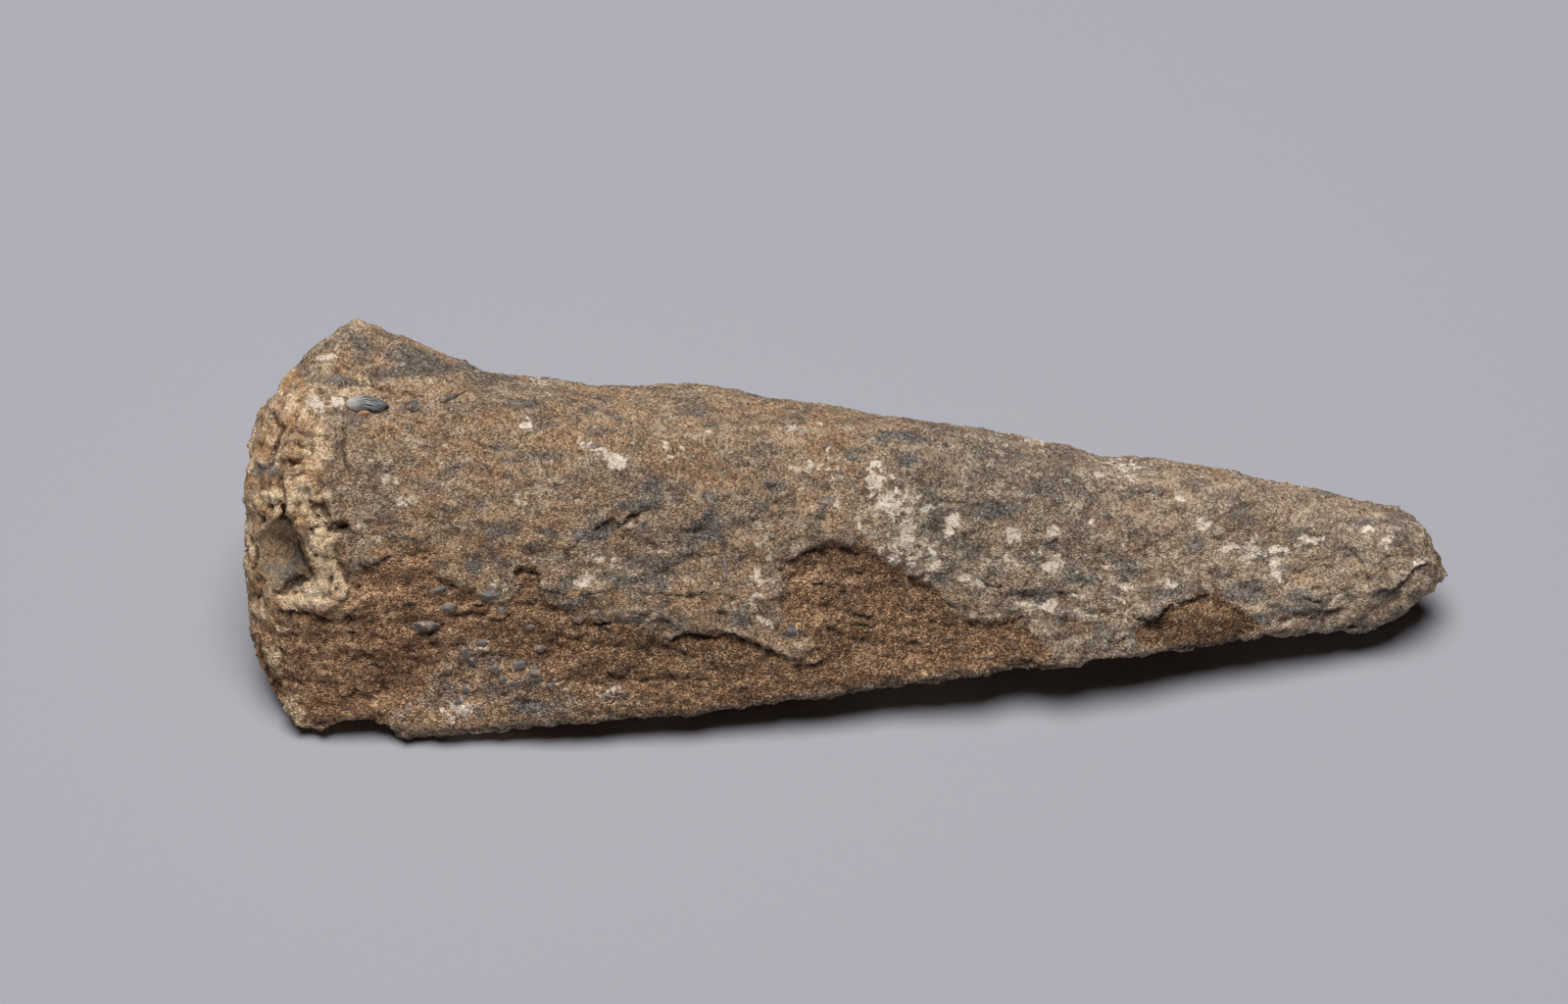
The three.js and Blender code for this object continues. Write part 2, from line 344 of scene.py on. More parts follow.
crust_left = step(-0.3, 0.5, kind["crust"])
sunk = step(-0.1, 0.5, kind["scar"]) * SCAR_DEPTH * (1 - 0.8 * crust_left)
wander = np.stack((lumps(points, 1.6, 15), lumps(points, 1.6, 16)), axis=1) * 2.5
in_pulp = step(-0.1, 0.4, inside(spots + wander, PULP_CAVITY))
in_pulp = in_pulp * (1 - LIP_RISE * step(0, LIP_REACH, along(spots, PULP_LIP)))
in_pocket = step(-0.2, 0.3, inside(spots + 0.5 * wander, ROOT_POCKET))
pushed = facing * np.maximum(in_pulp * PULP_DEPTH, in_pocket * POCKET_DEPTH)
shaped = points - normals(stone) * (sunk * MM)[:, None] - axes[2] * (pushed * MM)[:, None]
from_tip = np.linalg.norm(points - points[points[:, 0].argmax()], axis=1) / MM
shaped[:, 0] += NIB_LENGTH * MM * falloff(from_tip, NIB_WIDTH)
move_corners(stone, shaped)
print("sunk corners:", int((sunk > 0.2).sum()), "in hollows:", int((pushed > 0.5).sum()))

# %% [markdown]
# ## The final skin
# A second, finer voxel remesh evens out the squares on the walls of the hollows, and gives the fine relief
# enough corners to work with.

# %% A fine, even skin
FINE_SKIN = 0.34 * MM

apply_modifier(stone, "REMESH", mode="VOXEL", voxel_size=FINE_SKIN)
apply_modifier(stone, "SMOOTH", factor=0.4, iterations=1)
print("fine skin:", 2 * len(stone.data.polygons), "triangles")

# %% [markdown]
# ## Fine relief
# Each kind of surface is rough in its own way. The skin is low and sandy, with streaks that follow the
# bedding of the sand. The scar crumbles in small terraces. The root end is broken bone: lumps and chips with
# winding crevices between them. A stack of displacement modifiers could do this, but one height for every
# corner, added up in numpy, is quicker and easier to steer. Each number before a noise is its height, and the
# first number in it is its size, both in millimetres.

# %% The roughness of each kind of surface
points, spots, facing = survey(stone)
kind = kinds(points, spots, facing)
scar, root, crust = kind["scar"], kind["root"], kind["crust"]
on_root = step(-0.6, 0.6, root)
on_scar = step(-0.2, 0.5, scar) * (1 - on_root) * (1 - 0.7 * step(-0.3, 0.5, crust))
on_skin = (1 - on_scar) * (1 - on_root)
on_pulp_floor = facing * step(-0.2, 0.3, inside(spots, PULP_CAVITY))

bedding = points[:, 2] / MM * 0.35 + 1.1 * rubble(points, 9, 31, octaves=3, stretch=(3, 1, 1))
terrace = bedding - np.floor(bedding)
terrace = (terrace - step(0.55, 0.95, terrace)) * (0.5 + 0.8 * lumps(points, 8, 32, (2, 1, 1)))
warped = points + np.stack([0.5 * MM * lumps(points, 1.5, seed) for seed in (33, 34, 35)], axis=1)
skin_relief = (0.42 * rubble(points, 7, 51, octaves=5, fade=0.68, stretch=(1.7, 1, 1))
               + 0.20 * chips(warped, 3.2, 52, (1.8, 1, 1)) + 0.15 * chips(warped, 1.3, 53, (1.5, 1, 1))
               + 0.07 * lumps(points, 0.7, 57, (1.3, 1, 1))
               - 0.35 * step(0.45, 0.8, lumps(points, 1.6, 58, (1.8, 1, 1)))
               - 0.16 * crevices(warped, 3.0, 59, 0.06))
scar_relief = (0.38 * rubble(points, 5.5, 61, octaves=4, fade=0.62, stretch=(1.8, 1, 1)) + 0.30 * terrace
               + 0.14 * chips(warped, 2.0, 62, (1.9, 1, 1)) + 0.15 * chips(warped, 0.95, 63, (1.4, 1, 1))
               + 0.14 * lumps(points, 0.6, 67, (1.3, 1, 1))
               - 0.20 * step(0.4, 0.75, lumps(points, 1.7, 66, (1.9, 1, 1)))
               - 0.18 * crevices(warped, 3.4, 68))
root_relief = (0.42 * rubble(warped, 4.2, 71, octaves=5, fade=0.62)
               + 0.24 * chips(warped, 2.2, 77) + 0.15 * chips(warped, 1.0, 79)
               - 0.26 * crevices(warped, 3.0, 72) - 0.14 * crevices(warped, 1.6, 74))
root_relief = root_relief * (1 - 0.75 * on_pulp_floor) - 0.3  # the cavity's floor is smoother than the rest
roughness = 1.15 - 0.4 * step(10, 24, points[:, 2] / MM)  # the top is worn smoother than the sides
relief = on_skin * skin_relief * roughness + on_scar * scar_relief + on_root * root_relief
print("roughness from", round(relief.min(), 2), "to", round(relief.max(), 2), "mm")

# %% [markdown]
# ## Marks that are seen one by one
# On top of the general roughness come the ledges, cracks, ridges and pebbles that make this stone itself.
# They could be sculpted by hand, but as lines and ovals in the view they can be read and moved. A ledge is
# a line: the stone stands proud on its left side, looking along it, and is undercut on its right side. That
# undercut throws a dark line under a ledge, and the material darkens it further with painted shadow, as it
# does in cracks and pits.

# %% Ledges, cracks, ridges and pebbles, where they are seen
LEDGES = [  # a line through pixels, how high it is (under 0, a dip) and how far it slopes away, in mm
    ([(281, 626), (300, 621), (318, 622), (330, 628), (345, 633), (358, 628), (374, 634)], 0.9, 2.4),
    ([(360, 571), (376, 576), (392, 570), (402, 566)], 0.45, 1.2),
    ([(318, 514), (326, 528), (340, 540), (356, 537), (364, 546)], 0.8, 1.5),
    ([(483, 616), (497, 620), (512, 622), (524, 613)], 0.6, 1.2),
    ([(498, 631), (512, 633), (524, 623)], 0.6, 1.0),
    ([(523, 585), (534, 580), (546, 584), (554, 587)], 0.7, 1.4),
    ([(544, 597), (560, 601), (575, 604)], 0.5, 0.9),
    ([(588, 604), (606, 603), (630, 601), (655, 602), (690, 606), (745, 605)], 0.45, 0.9),
    ([(586, 631), (600, 634), (624, 634)], 0.9, 1.3),
    ([(612, 642), (640, 642), (668, 646)], 0.6, 1.2),
    ([(678, 648), (686, 654), (694, 646), (704, 644), (718, 649), (731, 650), (743, 646), (766, 650)],
     1.0, 1.8),
    ([(574, 650), (590, 648), (604, 646)], 0.35, 0.8),
    ([(798, 577), (812, 567), (830, 560), (850, 557), (868, 562), (884, 568)], 0.55, 1.8),
    ([(818, 590), (830, 594), (842, 596), (856, 602), (868, 606)], 0.7, 1.2),
    ([(852, 618), (870, 624), (892, 630)], 0.8, 1.2),
    ([(864, 633), (880, 638), (894, 641)], 0.6, 0.9),
    ([(793, 668), (801, 673), (812, 677), (830, 677), (842, 671)], 0.8, 1.4),
    ([(602, 543), (613, 534), (626, 528), (634, 534), (642, 525), (660, 519)], 0.8, 1.8),
    ([(574, 560), (585, 556), (594, 547)], 0.45, 0.9),
    ([(630, 536), (638, 541), (646, 537)], 0.5, 0.8),
    ([(788, 514), (798, 506), (810, 499), (822, 500)], 0.45, 1.0),
    ([(718, 521), (722, 511), (732, 503), (743, 507)], 0.4, 1.0),
    ([(660, 557), (676, 544), (690, 536)], 0.3, 0.8),
    ([(656, 505), (659, 493), (668, 485), (680, 484)], 0.3, 0.8),
    ([(560, 427), (546, 424), (536, 419), (522, 421)], -0.35, 0.9),
    ([(953, 505), (968, 509), (992, 512), (1003, 515)], 0.45, 0.8),
    ([(1028, 600), (1052, 603), (1076, 604), (1098, 601)], 0.5, 1.0),
    ([(1060, 555), (1072, 552), (1082, 548)], 0.4, 0.8),
    ([(1172, 509), (1180, 507), (1190, 501)], 0.4, 0.8),
    ([(1154, 625), (1164, 630), (1172, 633), (1180, 629), (1186, 622), (1200, 612)], 0.9, 1.4),
    ([(1196, 614), (1212, 611), (1228, 607), (1242, 603)], 0.7, 1.2),
    ([(1248, 588), (1262, 590), (1279, 589)], 0.45, 0.8),
    ([(1326, 608), (1338, 611), (1350, 610)], 0.7, 0.9),
    ([(1334, 620), (1350, 622), (1378, 621)], 0.7, 1.0),
    ([(1252, 612), (1266, 622), (1280, 628), (1296, 628)], 0.4, 1.0),
    ([(1394, 603), (1420, 599), (1431, 591), (1441, 580), (1456, 575), (1466, 578)], 0.9, 1.5),
    ([(1086, 634), (1100, 634), (1122, 636)], 0.4, 0.8),
    ([(1128, 653), (1140, 654), (1152, 646)], 0.5, 0.8),
    ([(1015, 637), (1030, 631), (1046, 629)], 0.5, 1.0),
    ([(330, 398), (352, 391), (372, 388), (400, 397), (424, 400), (440, 390)], 0.35, 1.4),
    ([(346, 372), (352, 358), (362, 348), (376, 346)], -0.3, 1.0),
    ([(345, 546), (352, 566), (358, 584), (352, 606)], 0.25, 0.8),
]
CRACKS = [  # a line through pixels, its half width and its depth in millimetres
    ([(322, 518), (333, 528), (342, 540), (352, 539)], 0.6, 0.9),
    ([(280, 602), (288, 602), (292, 598), (300, 594), (308, 592)], 0.4, 0.9),
    ([(288, 518), (297, 533), (304, 552), (312, 572), (316, 586)], 0.35, 0.7),
    ([(258, 548), (262, 560), (260, 578)], 0.3, 0.4),
    ([(352, 430), (350, 452), (354, 476)], 0.3, 0.3),
    ([(276, 420), (286, 436), (280, 452), (272, 470)], 0.35, 0.5),
    ([(1372, 557), (1382, 562), (1391, 573)], 0.3, 0.3),
    ([(296, 440), (318, 443), (334, 447)], 0.35, 0.4),
    ([(466, 630), (480, 627), (494, 629)], 0.4, 0.5),
    ([(700, 543), (708, 545), (716, 541)], 0.3, 0.3),
    ([(1310, 632), (1330, 628), (1350, 634)], 0.35, 0.3),
    ([(430, 646), (444, 642), (452, 636)], 0.3, 0.4),
    ([(845, 642), (870, 652), (900, 655)], 0.4, 0.35),
    ([(640, 664), (668, 660), (700, 668)], 0.4, 0.3),
    ([(655, 696), (690, 690), (720, 694)], 0.4, 0.35),
]
RIDGES = [  # a line through pixels, its half width and its height in millimetres
    ([(366, 329), (352, 345), (341, 362), (334, 380), (322, 396)], 0.5, 0.5),
    ([(320, 400), (311, 423), (303, 438), (296, 452), (290, 468), (289, 485), (292, 503), (297, 520)],
     0.55, 0.75),
    ([(297, 520), (301, 535), (308, 553), (314, 570), (320, 588)], 0.6, 0.6),
    ([(330, 430), (337, 442), (340, 456), (338, 476)], 0.3, 0.5),
    ([(311, 487), (318, 500), (324, 516)], 0.3, 0.4),
    ([(320, 518), (327, 530), (336, 538), (352, 536)], 0.4, 0.4),
    ([(262, 545), (270, 538), (280, 531), (287, 520)], 0.5, 0.6),
    ([(256, 480), (253, 510), (254, 545), (259, 580)], 0.7, 0.4),
    ([(345, 588), (350, 602), (343, 616), (328, 618), (312, 614)], 0.6, 0.5),
    ([(1398, 601), (1420, 598), (1431, 590), (1441, 579), (1456, 574)], 0.45, 0.45),
    ([(1085, 626), (1104, 624), (1124, 617), (1150, 613)], 0.5, 0.3),
    ([(262, 645), (272, 662), (279, 682), (286, 704), (296, 722), (316, 748)], 0.5, 0.5),
    ([(776, 500), (782, 540), (790, 580), (797, 606), (800, 640)], 0.8, 0.3),
    ([(430, 397), (448, 386), (470, 382)], 0.5, 0.3),
    ([(346, 372), (350, 356), (362, 350)], 0.4, 0.3),
    ([(325, 398), (350, 386), (378, 380)], 0.8, 0.4),
]
PEBBLES = [  # across, down, half width, half height (pixels), how proud (mm, a pit under 0), how dark
    (418, 589, 5, 5, 0.5, 0.4), (487, 605, 5, 4, 0.4, 0.4), (494, 641, 5, 4, 0.5, 0.4),
    (591, 628, 7, 5, 0.5, 0.5), (508, 679, 8, 8, 0.5, 0.2), (519, 656, 5, 4, 0.5, 0.2),
    (1172, 621, 14, 10, 0.8, 0.1), (1160, 498, 13, 7, 0.3, 0.5), (1182, 502, 8, 6, 0.3, 0.6),
    (1128, 525, 6, 4, 0.3, 0.6), (515, 481, 8, 4, 0.3, 0.4), (533, 480, 9, 5, 0.2, 0.3),
    (546, 520, 6, 5, 0.2, 0.3), (812, 663, 13, 8, 0.6, 0.1), (1358, 643, 11, 6, 0.5, 0.0),
    (1130, 648, 8, 6, 0.5, 0.0), (1084, 668, 16, 7, 0.5, 0.1), (538, 432, 15, 10, 0.4, 0.0),
    (598, 453, 9, 8, 0.3, 0.1), (342, 410, 22, 9, 0.8, 0.0), (334, 368, 7, 7, 0.4, 0.0),
    # the root end: lumps and two pits
    (308, 447, 8, 7, 0.6, 0.0), (324, 446, 8, 8, 0.6, 0.0), (331, 466, 7, 9, 0.5, 0.0),
    (305, 462, 8, 6, 0.4, 0.0), (301, 478, 7, 6, 0.5, 0.0), (306, 494, 8, 7, 0.6, 0.0),
    (330, 508, 10, 8, 0.6, 0.0), (316, 478, 6, 6, 0.4, 0.0), (297, 412, 10, 9, 0.5, 0.0),
    (285, 424, 8, 9, 0.5, 0.0), (276, 445, 8, 8, 0.5, 0.0), (268, 468, 8, 9, 0.5, 0.0),
    (276, 506, 11, 7, 0.7, 0.0), (263, 516, 8, 8, 0.6, 0.0), (282, 521, 7, 6, 0.5, 0.0),
    (257, 548, 5, 14, 0.4, 0.0), (328, 556, 12, 16, 0.6, 0.0), (336, 578, 10, 12, 0.5, 0.0),
    (322, 600, 16, 9, 0.8, 0.0), (344, 602, 9, 12, 0.6, 0.0), (306, 611, 13, 7, 0.6, 0.0),
    (330, 616, 11, 7, 0.5, 0.0), (290, 614, 10, 6, 0.5, 0.0), (310, 530, 8, 8, 0.4, 0.0),
    (342, 548, 9, 8, 0.4, 0.0), (345, 500, 6, 8, 0.3, 0.0), (346, 537, 11, 5, -0.9, 0.0),
    (288, 528, 8, 7, -0.7, 0.0),
    # lumps of the low corner block
    (291, 643, 7, 5, 0.8, 0.0), (290, 656, 8, 3, 0.6, 0.0), (308, 656, 5, 3, 0.4, 0.0),
    (284, 674, 6, 8, 0.6, 0.0), (287, 686, 5, 5, 0.5, 0.0), (296, 662, 12, 3, 0.4, 0.0),
    (294, 722, 7, 5, 0.5, 0.0), (308, 738, 12, 5, 0.5, 0.0), (268, 644, 4, 4, 0.4, 0.0),
    # lumps of the dark patch beside the peak
    (392, 388, 12, 9, 0.5, 0.0), (424, 388, 10, 8, 0.5, 0.0), (410, 368, 10, 8, 0.5, 0.0),
    (437, 366, 9, 7, 0.5, 0.0), (362, 366, 11, 9, 0.4, 0.0), (345, 390, 12, 7, 0.5, 0.0),
    (384, 362, 9, 5, 0.4, 0.0), (404, 352, 9, 6, 0.3, 0.0), (430, 400, 8, 4, 0.3, 0.0),
    (376, 348, 9, 5, 0.3, 0.0),
]
print(len(LEDGES), "ledges,", len(CRACKS), "cracks,", len(RIDGES), "ridges and", len(PEBBLES), "pebbles")

# %% Helpers for drawn lines and ovals


def beside(spots, path):
    """Each place's distance from a line in mm, +1 left of it or -1 right of it, and the share along it."""
    lengths = [math.dist(a, b) for a, b in zip(path[:-1], path[1:])]
    nearest, side, share = np.full(len(spots), np.inf), np.ones(len(spots)), np.zeros(len(spots))
    done = 0.0
    for start, end, length in zip(np.array(path[:-1], float), np.array(path[1:], float), lengths):
        run = end - start
        offset = spots - start
        part = np.clip(offset @ run / (run @ run), 0, 1)
        away = np.linalg.norm(offset - part[:, None] * run, axis=1)
        closer = away < nearest
        nearest[closer] = away[closer]
        side[closer] = np.sign(run[1] * offset[closer, 0] - run[0] * offset[closer, 1])
        share[closer] = (done + part[closer] * length) / sum(lengths)
        done += length
    return nearest * MM_PER_PIXEL, side, share


def mound(spots, x, y, wide, high):
    """1 in the middle of an oval in the view, 0 at its edge, negative outside."""
    return 1 - np.hypot((spots[:, 0] - x) / wide, (spots[:, 1] - y) / high)


middle = (VIEW / 2)[None]
print("in the middle of an oval, mound gives", mound(middle, *(VIEW / 2), 10, 10)[0])

# %% The marks are carved
WOBBLE = 2.4  # drawn lines and ovals wander by about so many pixels
LEDGE_ABOVE, LEDGE_UNDER = 0.50, 0.30  # the shares of a ledge's height that stand proud and are cut back
UNDERCUT = 0.4  # how wide that cut is, in millimetres
PEBBLE_SHOWS = 0.55  # the share of a pebble's height that is left, as sand has built up round it

wobble = np.stack((lumps(points, 2.4, 81) + 0.4 * lumps(points, 0.9, 84),
                   lumps(points, 2.4, 82) + 0.4 * lumps(points, 0.9, 85)), axis=1) * WOBBLE
near_marks = np.flatnonzero(facing > 0)
sway = (spots + wobble)[near_marks]
uneven = 0.25 + 0.75 * step(-0.5, 0.3, lumps(points[near_marks], 2.4, 86))
marks = np.zeros(len(near_marks))
# shadow: painted shadow for the material, under each ledge's undercut, in cracks and in pits
shadow = np.zeros(len(near_marks))
for path, height, fade in LEDGES:
    away, side, share = beside(sway, path)
    ends = step(0, 0.15, share) * step(0, 0.15, 1 - share) * uneven
    proud = np.where(side > 0, falloff(away, fade), 0)
    under = np.where(side > 0, 0, falloff(away, UNDERCUT))
    marks += ends * height * (LEDGE_ABOVE * proud - LEDGE_UNDER * under)
    shadow = np.maximum(shadow, ends * under * min(1.2 * abs(height), 1))
for path, half_width, depth in CRACKS:
    gash = falloff(along(sway, path), half_width)
    marks -= depth * gash
    shadow = np.maximum(shadow, gash * min(1.2 * depth, 1))
for path, half_width, height in RIDGES:
    marks += height * falloff(along(sway, path), half_width)
dark_pebble = np.zeros(len(near_marks))
bumpy = 1 + 0.25 * lumps(points[near_marks], 1.2, 83)
for x, y, wide, high, proud, dark in PEBBLES:
    rise = step(-0.15, 0.45, mound(sway, x, y, wide, high))
    marks += rise * proud * bumpy * PEBBLE_SHOWS
    dark_pebble = np.maximum(dark_pebble, rise * dark)
    shadow = np.maximum(shadow, rise * max(0, -0.6 * proud))
relief[near_marks] += facing[near_marks] * marks
pebble_dark, painted_shadow = np.zeros(len(points)), np.zeros(len(points))
pebble_dark[near_marks] = facing[near_marks] * dark_pebble
painted_shadow[near_marks] = facing[near_marks] * shadow
carved = points + normals(stone) * (relief * MM)[:, None]
carved[:, 2] = np.maximum(carved[:, 2], 0)
move_corners(stone, carved)
print("relief from", round(relief.min(), 2), "to", round(relief.max(), 2), "mm")

# %% [markdown]
# ## Where the painted shade sits
# The material paints shade into hollows and a highlight on what stands proud. Comparing the carved height
# with the same height smoothed over its neighbours tells the two apart, and the material reads the result.

# %% How hollow each corner is
HOLLOW_SCALES = ((4, 1.6), (24, 0.8))  # rounds of averaging, and how much what they show counts


def smoothed(obj, values, rounds):
    """Values averaged over the corners that share an edge, rounds times."""
    ends = np.empty(len(obj.data.edges) * 2, int)
    obj.data.edges.foreach_get("vertices", ends)
    first, second = ends.reshape(-1, 2).T
    count = np.bincount(ends, minlength=len(values))
    for _ in range(rounds):
        total = np.bincount(first, values[second], len(values))
        total = total + np.bincount(second, values[first], len(values))
        values = total / count
    return values


hollow = sum(weight * (smoothed(stone, relief, rounds) - relief) for rounds, weight in HOLLOW_SCALES)
print("hollow corners:", int((hollow > 0.15).sum()))

# %% [markdown]
# ## Stains and spots
# Calcite has grown through the stone in white spots, and the sand holds slate-blue pebbles and rusty patches.
# Each is an oval where it is seen, with a share of 1 in its middle. The shares are stored on the corners as
# attributes. The material lets each grain of sand take the stain or not by chance, so no oval shows as one.

# %% Places of the stains
WHITE = [(892, 474, 10, 6), (896, 490, 16, 10), (903, 514, 9, 14), (925, 541, 15, 11), (948, 518, 7, 7),
         (942, 522, 9, 7), (966, 541, 11, 7), (943, 553, 8, 8), (952, 573, 9, 13), (972, 532, 9, 7),
         (878, 536, 5, 11), (888, 544, 11, 4), (1034, 546, 10, 8), (1076, 541, 8, 7), (1113, 535, 6, 6),
         (1074, 577, 13, 10), (1228, 534, 9, 12), (1051, 616, 14, 7), (1072, 619, 11, 7), (1102, 604, 8, 5),
         (1254, 558, 12, 7), (1303, 582, 9, 15), (628, 469, 13, 12), (592, 592, 12, 9), (985, 591, 8, 4),
         (1110, 626, 24, 4), (334, 368, 8, 6), (322, 414, 10, 9), (1066, 448, 10, 4), (345, 411, 11, 6)]
PALE = [(320, 412, 10, 10), (352, 404, 12, 5), (338, 460, 3, 16), (318, 500, 4, 12), (325, 600, 14, 8),
        (608, 462, 16, 8), (610, 570, 22, 9), (411, 516, 16, 7), (532, 507, 8, 12), (395, 490, 10, 9),
        (455, 474, 8, 5), (790, 578, 10, 7), (797, 596, 6, 12), (778, 635, 20, 9), (552, 392, 12, 5),
        (466, 722, 16, 12), (458, 733, 16, 8), (622, 705, 18, 9), (488, 664, 9, 6), (806, 434, 12, 8),
        (840, 432, 8, 4), (1018, 448, 16, 4), (1060, 449, 20, 4), (1068, 464, 8, 4), (1122, 485, 9, 6),
        (1150, 480, 16, 7), (1138, 472, 16, 4), (1158, 492, 6, 6), (1204, 508, 14, 6), (1000, 592, 12, 7),
        (1142, 614, 20, 5), (1150, 556, 6, 14), (838, 474, 16, 7), (374, 540, 6, 9), (387, 556, 5, 9),
        (574, 700, 20, 6), (1448, 578, 18, 7), (718, 442, 10, 5), (690, 460, 14, 10), (538, 434, 14, 10),
        (598, 454, 9, 8), (1060, 566, 16, 7), (1030, 572, 14, 6), (1146, 596, 18, 6), (1190, 598, 14, 6),
        (1362, 604, 8, 7), (858, 504, 10, 8), (1415, 555, 14, 8), (1290, 562, 36, 12), (820, 474, 16, 8),
        (770, 600, 10, 34), (508, 598, 14, 5), (1130, 572, 8, 9), (1270, 566, 16, 7), (1340, 548, 24, 12),
        (1390, 538, 20, 6), (780, 560, 8, 24), (930, 560, 40, 30), (910, 510, 30, 26)]
SLATE = [(655, 515, 34, 10), (722, 546, 24, 16), (290, 580, 20, 10), (302, 570, 10, 14), (668, 495, 14, 12),
         (724, 512, 10, 9), (727, 530, 10, 14), (742, 555, 8, 9), (741, 580, 4, 14), (676, 590, 10, 16),
         (600, 457, 9, 8), (657, 532, 9, 7), (634, 576, 8, 6), (643, 628, 14, 9), (690, 637, 6, 7),
         (806, 645, 6, 8), (842, 514, 10, 7), (841, 526, 4, 5), (1222, 555, 12, 14), (1308, 562, 14, 9),
         (1270, 606, 28, 12), (1325, 606, 16, 9), (958, 592, 12, 9), (1062, 606, 22, 8), (630, 437, 5, 5),
         (575, 592, 14, 10), (560, 545, 22, 7), (700, 560, 12, 9), (648, 443, 5, 4), (930, 465, 16, 7),
         (1118, 638, 9, 8), (1075, 553, 10, 6), (505, 540, 24, 8), (480, 578, 14, 12), (480, 515, 16, 4),
         (750, 632, 20, 9), (1190, 610, 16, 7), (1086, 521, 8, 5), (1440, 572, 7, 6), (268, 478, 10, 12),
         (300, 590, 14, 8), (500, 384, 40, 4), (455, 602, 8, 4), (920, 448, 40, 8), (870, 462, 10, 9),
         (605, 540, 26, 10), (1105, 590, 30, 8), (1330, 622, 26, 7), (1290, 636, 14, 8), (790, 492, 14, 7),
         (520, 468, 12, 6), (700, 425, 26, 6), (1010, 520, 40, 8), (640, 590, 40, 10), (585, 616, 30, 7),
         (1410, 606, 18, 6), (1390, 636, 14, 6), (760, 470, 10, 5), (1150, 580, 22, 8), (1400, 530, 14, 6),
         (550, 470, 16, 7), (545, 720, 26, 10), (500, 700, 14, 8)]
RUSTY = [(354, 468, 16, 42), (352, 524, 16, 22), (278, 556, 14, 12), (290, 644, 8, 5), (634, 545, 30, 10),
         (615, 502, 16, 10), (770, 410, 8, 5), (832, 458, 14, 9), (480, 504, 18, 10), (1254, 482, 34, 9),
         (1190, 502, 16, 7), (1215, 476, 20, 6), (1335, 590, 18, 10), (1410, 582, 20, 9),
         (1466, 578, 6, 10), (382, 363, 14, 6), (291, 643, 9, 7), (500, 425, 50, 14), (700, 470, 70, 26),
         (385, 567, 14, 6), (1100, 640, 36, 10), (720, 655, 30, 8), (350, 560, 12, 26), (1125, 540, 20, 7),
         (1010, 550, 26, 5), (655, 392, 26, 5), (570, 450, 40, 14), (440, 530, 14, 18), (1290, 605, 20, 10),
         (1160, 560, 24, 7), (850, 450, 16, 10), (470, 400, 30, 8), (590, 690, 20, 8), (560, 702, 16, 5)]
# Dark patches. The three ovals low in the small scar near the tip, 1182 to 1262 across, are painted shadow
# under its ledge.
DARK = [(466, 376, 30, 8), (502, 387, 34, 6), (670, 572, 50, 10), (1215, 642, 54, 20), (1182, 632, 18, 12),
        (1262, 636, 26, 12), (1380, 565, 7, 9), (415, 362, 34, 12), (400, 382, 40, 9), (370, 352, 16, 8),
        (1345, 612, 34, 7), (350, 392, 26, 6), (440, 372, 24, 8), (530, 414, 26, 6), (600, 417, 14, 6),
        (1130, 525, 8, 5)]
BUFF = [(330, 560, 18, 50), (304, 500, 14, 30), (322, 600, 26, 14), (322, 450, 18, 30), (276, 508, 16, 14),
        (256, 540, 7, 44), (280, 545, 16, 16), (290, 643, 9, 6), (276, 672, 6, 22), (300, 722, 10, 18),
        (297, 412, 12, 12), (334, 382, 12, 8), (372, 390, 12, 7), (340, 346, 10, 8), (268, 470, 8, 10),
        (284, 676, 7, 14), (290, 656, 10, 4), (310, 740, 14, 6), (366, 334, 16, 5), (436, 392, 12, 4),
        (300, 612, 24, 8), (412, 382, 7, 4), (355, 400, 18, 5), (330, 510, 12, 10), (545, 552, 12, 5)]
PALE_RIM = [(395, 749), (440, 753), (500, 750), (560, 744), (620, 742), (700, 734), (760, 727), (820, 716),
            (900, 705), (960, 696), (1030, 688), (1080, 680), (1150, 676), (1230, 662), (1300, 652),
            (1370, 645)]
print("ovals:", sum(len(stains) for stains in (WHITE, PALE, SLATE, RUSTY, DARK, BUFF)))

# %% The stone carries its map as attributes
# On the sides that aren't seen, noise makes the stains: its size in mm, its seed, and the two of its values
# between which a stain goes from nothing to full.
UNSEEN_STAINS = {
    "white": (5, 91, 0.5, 0.9), "slate": (6, 92, 0.45, 0.9),
    "rusty": (9, 93, 0.3, 0.8), "buff": (8, 94, 0.1, 0.6),
}


def marked(spots, marks):
    """How much each place is in the middle of one of the ovals, from 0 to 1."""
    shares = np.zeros(len(spots))
    for x, y, wide, high in marks:
        shares = np.maximum(shares, 1.4 * mound(spots, x, y, 1.25 * wide, 1.25 * high))
    return np.clip(shares, 0, 1)


white_spots = spots + 1.6 * wobble
smear = [7 * rubble(points, 3.2, seed, 3, 0.6, (1.6, 1, 1)) for seed in (87, 88)]
stain_spots = white_spots + np.stack(smear, axis=1)
patchy = 0.9 + 0.6 * lumps(points, 1.3, 95)
whitened = np.maximum(marked(white_spots, WHITE), 0.6 * marked(stain_spots, PALE)) * patchy
flecks = step(0.55, 0.85, lumps(points, 1.5, 96)) * step(-0.1, 0.5, lumps(points, 9, 97))
flecks = flecks * (1 - step(-0.4, 0, scar))
seen_stains = {"white": np.maximum(whitened, 0.55 * flecks), "slate": marked(stain_spots, SLATE),
               "rusty": marked(stain_spots, RUSTY), "buff": marked(stain_spots, BUFF)}
for name, (size, seed, low, high) in UNSEEN_STAINS.items():
    unseen_stain = step(low, high, lumps(points, size, seed))
    store(stone, name, facing * seen_stains[name] + (1 - facing) * unseen_stain)
store(stone, "dark", facing * marked(white_spots, DARK))
store(stone, "rim", facing * (1 - step(0.7, 1.6, along(spots, PALE_RIM))))
